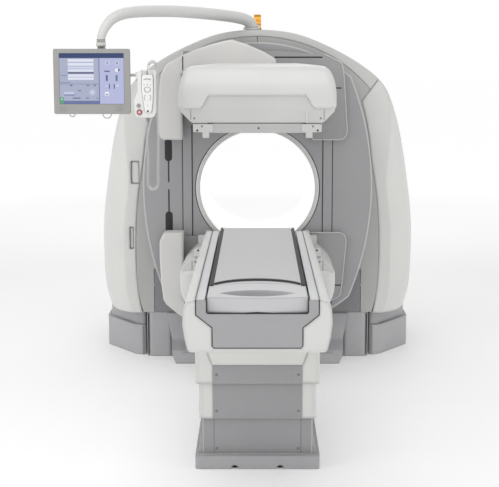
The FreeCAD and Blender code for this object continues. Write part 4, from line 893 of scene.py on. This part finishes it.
farArc = arcAcross(bandSet["side"], bandSet["crown"])
midArc = arcAcross(bandSet["side"] - bandSet["wide"] * 0.6, bandSet["crown"] - bandSet["wide"])
nearArc = arcAcross(bandSet["side"] - 0.018, bandSet["nearCrown"])
band = slab("palletBand", farArc + midArc[::-1], "xy", 0.874, 0.9112, "nitrileStrip", *onStrip)
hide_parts("pallet_strips")
slab("palletBandFill", [(x, y - 0.0002) for x, y in midArc] + nearArc[::-1], "xy", 0.874, 0.9062, "mouldedAbsGrip",
     *onPallet)
ribbon("palletBandLine", [(x, y - 0.016, 0.9068) for x, y in midArc[2:-2]], 0.0022, "seamGasket", *onStrip)
gripSet = {"half": 0.147, "mid": -3.1160, "far": -3.0535, "near": -3.1790}


def gripArc(crown, count=24):  # from the left tip over the crown to the right tip
    half, rise = gripSet["half"], crown - gripSet["mid"]
    return [(half * math.sin(math.pi / 2 * (2 * k / count - 1)),
             gripSet["mid"] + rise * (1 - math.sin(math.pi / 2 * (2 * k / count - 1)) ** 2)) for k in range(count + 1)]


slab("palletGripFloor", gripArc(gripSet["far"])[1:-1] + gripArc(gripSet["near"])[1:-1][::-1], "xy", 0.8470, 0.8600,
     "paintedShadeAbsWell",
     *onPallet)
for side, hand in bothSides:
    strip = softBox("palletStrip" + hand, *spanX(side * 0.1800, side * 0.1985, -2.962, -1.2765, 0.874, 0.9118),
                    0.0015,
                    "nitrileStrip", *onStrip)
    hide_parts("pallet_strips")
print("table ready")

# monitor
screen = dict(left=-1.0366, right=-0.7000, low=1.5858, high=1.8480, front=-1.4058)
inks = {
    "navyInk": "#33446E", "lineInk": "#646B92", "fieldInk": "#E3E5F3", "fieldShade": "#D3D7EC", "darkInk": "#585C78",
    "barInk": "#6C76A4", "greenInk": "#5AA17C", "greenPale": "#A9D2BF", "paleInk": "#C9CEE6", "blueInk": "#7F8BB4",
    "violetPane": "#B9BCDD", "whiteInk": "#F2F3FA", "tealInk": "#5F7F93",
}
for name, value in inks.items():
    makeDisplay(name, value, 0.86)


def screenPoint(u, v):  # shares of the screen, from its top left
    return (screen["left"] + u * (screen["right"] - screen["left"]), screen["front"],
            screen["high"] - v * (screen["high"] - screen["low"]))


def ink(name, u0, u1, v0, v1, finish, layer):  # a thin coloured area, layer steps proud of the screen
    (x0, y, z1), (x1, y, z0) = screenPoint(u0, v0), screenPoint(u1, v1)
    slab(name, [(x, z, 0.0006) for x, z in ((x0, z0), (x1, z0), (x1, z1), (x0, z1))], "xz", y - 0.00025 * layer,
         y + 0.0004, finish, *onScreen, cornerSteps=1)


areas = [
    (0.0, 1.0, 0.0, 0.092, "navyInk", 2), (0.615, 1.0, 0.092, 1.0, "violetPane", 1),
         (0.612, 0.624, 0.092, 1.0, "lineInk", 2),
    (0.132, 0.533, 0.110, 0.166, "fieldInk", 2), (0.132, 0.533, 0.186, 0.243, "fieldInk", 2),
    (0.132, 0.533, 0.260, 0.300, "fieldShade", 2), (0.132, 0.533, 0.314, 0.360, "fieldInk", 2),
    (0.132, 0.533, 0.370, 0.398, "darkInk", 2), (0.132, 0.533, 0.414, 0.462, "fieldInk", 2),
    (0.132, 0.533, 0.474, 0.522, "fieldInk", 2), (0.0, 0.612, 0.600, 0.607, "lineInk", 2),
    (0.022, 0.118, 0.430, 0.446, "blueInk", 2), (0.004, 0.160, 0.568, 0.582, "blueInk", 2),
    (0.160, 0.200, 0.620, 0.640, "darkInk", 2), (0.42, 0.46, 0.620, 0.638, "darkInk", 2),
    (0.53, 0.57, 0.620, 0.638, "darkInk", 2), (0.29, 0.33, 0.726, 0.744, "darkInk", 2),
    (0.066, 0.225, 0.762, 0.806, "paleInk", 2), (0.066, 0.230, 0.812, 0.836, "blueInk", 3),
    (0.20, 0.32, 0.876, 0.894, "darkInk", 2), (0.41, 0.45, 0.876, 0.894, "darkInk", 2),
         (0.57, 0.60, 0.876, 0.894, "tealInk", 2),
    (0.055, 0.612, 0.937, 1.0, "barInk", 2), (0.0, 0.058, 0.868, 1.0, "greenInk", 3),
         (0.016, 0.042, 0.886, 0.925, "greenPale", 4),
    (0.71, 0.78, 0.150, 0.222, "paleInk", 2), (0.735, 0.757, 0.170, 0.200, "darkInk", 3),
    (0.870, 0.930, 0.150, 0.222, "paleInk", 2), (0.888, 0.908, 0.168, 0.206, "darkInk", 3),
    (0.700, 0.785, 0.340, 0.364, "darkInk", 2), (0.868, 0.915, 0.300, 0.360, "whiteInk", 2),
         (0.912, 0.938, 0.305, 0.348, "darkInk", 3),
    (0.722, 0.750, 0.428, 0.545, "darkInk", 2), (0.872, 0.905, 0.428, 0.545, "tealInk", 2),
    (0.766, 0.783, 0.604, 0.700, "darkInk", 2), (0.840, 0.857, 0.604, 0.700, "darkInk", 2),
    (0.715, 0.750, 0.620, 0.660, "paleInk", 2), (0.880, 0.925, 0.610, 0.665, "paleInk", 2),
]
for k, area in enumerate(areas):
    ink("screenArea_%02d" % k, *area)
for k, (u, v, r, finish) in enumerate(((0.507, 0.770, 0.0160, "paleInk"), (0.507, 0.770, 0.0105, "blueInk"),
                                       (0.507, 0.770, 0.0078, "fieldInk"), (0.735, 0.800, 0.0115, "whiteInk"),
                                       (0.735, 0.812, 0.0045, "darkInk"))):
    turned("screenDial_%d" % k, [(0, -0.0006 - 0.00022 * k), (r, -0.0006 - 0.00022 * k), (r, 0.0003), (0, 0.0003)],
           screenPoint(u, v), alongY, finish, *onScreen, 32)
for k, x in enumerate((-1.0225, -0.7240)):
    slab("bezelKey_%d" % k, [(x + w, z, 0.004) for w, z in ((-0.0165, 1.549), (0.0165, 1.549), (0.0165, 1.572),
                                                            (-0.0165, 1.572))],
         "xz", -1.4074, -1.4055, "mouldedPcKey", *onBezel, lowRound=0.0008)
slab("monitorBackShell", [(-1.040, 1.560, 0.03), (-0.872, 1.560, 0.02), (-0.872, 1.845, 0.02), (-1.040, 1.845, 0.03)],
     "xz", -1.3722, -1.3662, "mouldedPcBezel", *onBezel, highRound=0.004)
for k in range(9):
    z = 1.60 + k * 0.012
    softBox("monitorVent_%d" % k, (-1.020, -1.3668, z), (-0.900, -1.3658, z + 0.005), 0.0004, "mattBlackAbs",
            *onBezel)
left, right, low, high = (screen["left"] - 0.0008, screen["right"] + 0.0008, screen["low"] - 0.0008,
                          screen["high"] + 0.0008)
rim = [(left, low), (right, low), (right, high), (left, high)]
ribbon("screenRim", [(x, -1.4057, z) for x, z in rim], 0.0009, "seamGasket", *onBezel, cyclic=True)
print("monitor ready")

# hand controller and holder
handset = [(-0.590, 1.5397, 0.012), (-0.554, 1.5397, 0.012), (-0.547, 1.600, 0.04), (-0.5445, 1.660, 0.04),
           (-0.546, 1.7365, 0.014), (-0.603, 1.7365, 0.014), (-0.6045, 1.660, 0.04), (-0.597, 1.600, 0.04)]
grip = slab("handControllerShell", handset, "xz", -1.438, -1.3982, "whitePcHandset", *onMount,
            lowRound=0.007, highRound=0.005, steps=5)
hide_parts("hand_controller")
keyX, keyY = -0.5745, -1.4388   # middle of the key field, face of the keys
turned("keyRingUpper", [(0.0150, 0.0), (0.0158, -0.0010), (0.0175, -0.0010), (0.0182, 0.0), (0.0182, 0.0015),
                        (0.0150, 0.0015)],
       (keyX, keyY, 1.6617), alongY, "mouldedPcKey", *onMount, 40, squash=(1.0, 0.80), closed=True)
for side, hand in bothSides:
    arc = []
    for k in range(9):
        a = math.radians(-52 + 13 * k)
        arc.append((keyX + side * 0.0175 * math.cos(a), keyY, 1.620 + 0.0175 * math.sin(a)))
    ribbon("keyArc" + hand, arc, 0.0013, "mouldedPcKey", *onMount)
for k, (x, z, r, finish) in enumerate(((-0.017, 1.686, 0.0026, "mouldedPcKey"), (0.0, 1.689, 0.0026, "mouldedPcKey"),
                                       (0.017, 1.686, 0.0026, "mouldedPcKey"), (0.001, 1.577, 0.0022, "mouldedPcKey"),
                                       (0.001, 1.549, 0.0052, "mattBlackAbs"))):
    turned("keyDot_%d" % k, [(0, -0.0010), (r * 0.7, -0.0010), (r, -0.0002), (r, 0.0012)], (keyX + x, keyY, z),
           alongY, finish, *onMount, 20)
arc = [(keyX - 0.0185 + 0.037 * k / 8, keyY, 1.7125 + 0.005 * math.sin(math.pi * k / 8)) for k in range(9)]
ribbon("keySlotTop", arc, 0.0022, "mouldedPcKey", *onMount)
turned("cordBoot", [(0.0052, 0.0), (0.0052, 0.004), (0.0042, 0.012), (0.0034, 0.026), (0, 0.026)],
       (-0.576, -1.420, 1.7352), alongZ, "mouldedPcKey", *onMount, 24)
turned("cordSocket", [(0.0075, 0.0), (0.0075, -0.004), (0.0050, -0.016), (0.0036, -0.024), (0, -0.024)],
       (-0.580, -1.406, 1.5155), alongZ, "mouldedPcKey", *onMount, 24)
turned("redCap", [(0, -0.0012), (0.0060, -0.0012), (0.0072, -0.0004), (0.0072, 0.0010)], (-0.6185, -1.4302, 1.543),
       alongY, "pinkPcCap", "button_red", "button_red", 32)
turned("redCollar", [(0.0145, -0.0006), (0.0165, -0.0006), (0.0172, 0.0002), (0.0172, 0.0015), (0.0145, 0.0015)],
       (-0.6185, -1.4253, 1.543), alongY, "pinkPcCap", *onMount, 40, closed=True)
print("controller ready")

# beacon
beaconPlace = (0, -0.126, 0)
turned("beaconCore", [(0, 2.012), (0.011, 2.012), (0.012, 2.014), (0.012, 2.052), (0.009, 2.058), (0, 2.059)],
       beaconPlace, alongZ, "orangePcCore", *onBeacon, 32)
turned("beaconCap", [(0, 2.0868), (0.016, 2.0866), (0.0205, 2.0835), (0.0226, 2.078), (0.0226, 2.0745),
                     (0.0205, 2.0745)],
       beaconPlace, alongZ, "mattBlackAbs", "gantry", "black_plastic", 40)
for k in range(2):
    z = 2.024 + 0.022 * k
    turned("beaconBand_%d" % k, [(0.0218, z), (0.0228, z + 0.001), (0.0228, z + 0.003), (0.0218, z + 0.004)],
           beaconPlace,
           alongZ, "mattBlackAbs" if k == 0 else "orangePcCore", *onBeacon, 40, closed=True)

# arm
armPoint = (-0.035, -0.4073)   # pivot of the arm
dropPoint = (-0.825, -1.330)   # drop tube over the monitor
armSides = 28   # faces round the arm
# share of the way from pivot to drop, height, radius
armRows = [(0.0, 2.0015, 0.0310), (0.012, 2.0300, 0.0345), (0.087, 2.0550, 0.0345), (0.281, 2.0715, 0.0335),
           (0.553, 2.0800, 0.0325), (0.806, 2.0680, 0.0305), (0.915, 2.0380, 0.0280), (0.968, 1.9920, 0.0250),
           (0.995, 1.9420, 0.0225), (1.0, 1.9055, 0.0210)]


def smoothRow(rows, steps):  # rows eased through by a curve that passes every one of them
    out = []
    for i in range(len(rows) - 1):
        p0, p1, p2, p3 = rows[max(i - 1, 0)], rows[i], rows[i + 1], rows[min(i + 2, len(rows) - 1)]
        for k in range(steps):
            t = k / steps
            out.append([0.5 * (2 * b + (c - a) * t + (2 * a - 5 * b + 4 * c - d) * t * t + (3 * b - a - 3 * c + d) * t ** 3)
                        for a, b, c, d in zip(p0, p1, p2, p3)])
    return out + [list(rows[-1])]


armSide = Vector((dropPoint[1] - armPoint[1], armPoint[0] - dropPoint[0], 0)).normalized()
spine = [(Vector((armPoint[0] + (dropPoint[0] - armPoint[0]) * t, armPoint[1] + (dropPoint[1] - armPoint[1]) * t,
                  z)), q)
         for t, z, q in smoothRow(armRows, 7)]
beamMesh = bmesh.new()
beamRings = []
for i, (centre, radius) in enumerate(spine):
    tangent = (spine[min(i + 1, len(spine) - 1)][0] - spine[max(i - 1, 0)][0]).normalized()
    if i == 0 or i == len(spine) - 1:
        tangent = Vector((0, 0, 1 if i == 0 else -1))
    other = tangent.cross(armSide).normalized()
    beamRings.append([beamMesh.verts.new(centre + (armSide * math.cos(2 * math.pi * k / armSides)
                                                 + other * math.sin(2 * math.pi * k / armSides)) * radius)
                      for k in range(armSides)])
for lower, upper in zip(beamRings, beamRings[1:]):
    for k in range(armSides):
        k2 = (k + 1) % armSides
        beamMesh.faces.new((lower[k], lower[k2], upper[k2], upper[k]))
beamMesh.faces.new(beamRings[0][::-1])
beamMesh.faces.new(beamRings[-1])
beam = newPiece("armBeam", beamMesh, "mouldedAbsArm", *onArm)
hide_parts("monitor_arm")
turned("armFootRing", [(0.033, 0.001), (0.041, 0.001), (0.0425, 0.004), (0.0425, 0.017), (0.040, 0.020),
                       (0.033, 0.020)],
       (*armPoint, 2.0), alongZ, "mouldedAbsArch", *onArm, 48, closed=True)
turned("armSwivelGap", [(0.0365, 0.0), (0.0385, 0.0), (0.0385, 0.0009), (0.0365, 0.0009)],
       (*armPoint, 1.9995), alongZ, "seamGasket", *onGantry, 48, closed=True)
for k, z in enumerate((1.9085, 1.9165)):
    turned("dropRing_%d" % k, [(0.0205, 0.0), (0.0232, 0.0006), (0.0232, 0.0052), (0.0205, 0.0058)],
           (*dropPoint, z), alongZ, "mouldedPcKey", *onArm, 40, closed=True)

# gantry details
rearY = 0.4985   # face of the rear cover
for side, hand in bothSides:
    for k in range(14):
        z = 0.62 + k * 0.022
        softBox("rearVent%s_%02d" % (hand, k), (side * 0.62 - 0.14, rearY - 0.0005, z),
                (side * 0.62 + 0.14, rearY + 0.0016, z + 0.009), 0.0008, "mattBlackAbs", *onGantry)
    ribbon("rearSeam" + hand, [(side * 0.43, rearY, 0.29), (side * 0.43, rearY, 0.76)], 0.0016, "seamGasket",
           *onGantry)
    softBox("leftRecessTrim" + hand, (side * 0.30 - 0.05, rearY - 0.0005, 0.16),
            (side * 0.30 + 0.05, rearY + 0.0022, 0.20), 0.001, "mattBlackAbs", *onGantry)
turned("rearBoreTrim", [(0.3590, 0.0), (0.3590, 0.006), (0.362, 0.010), (0.385, 0.010), (0.390, 0.004), (0.390, 0.0)],
       (0, rearY, isoZ), alongY, "powderCoatCarriage", *onGantry, 128, closed=True)
print("gantry details ready")
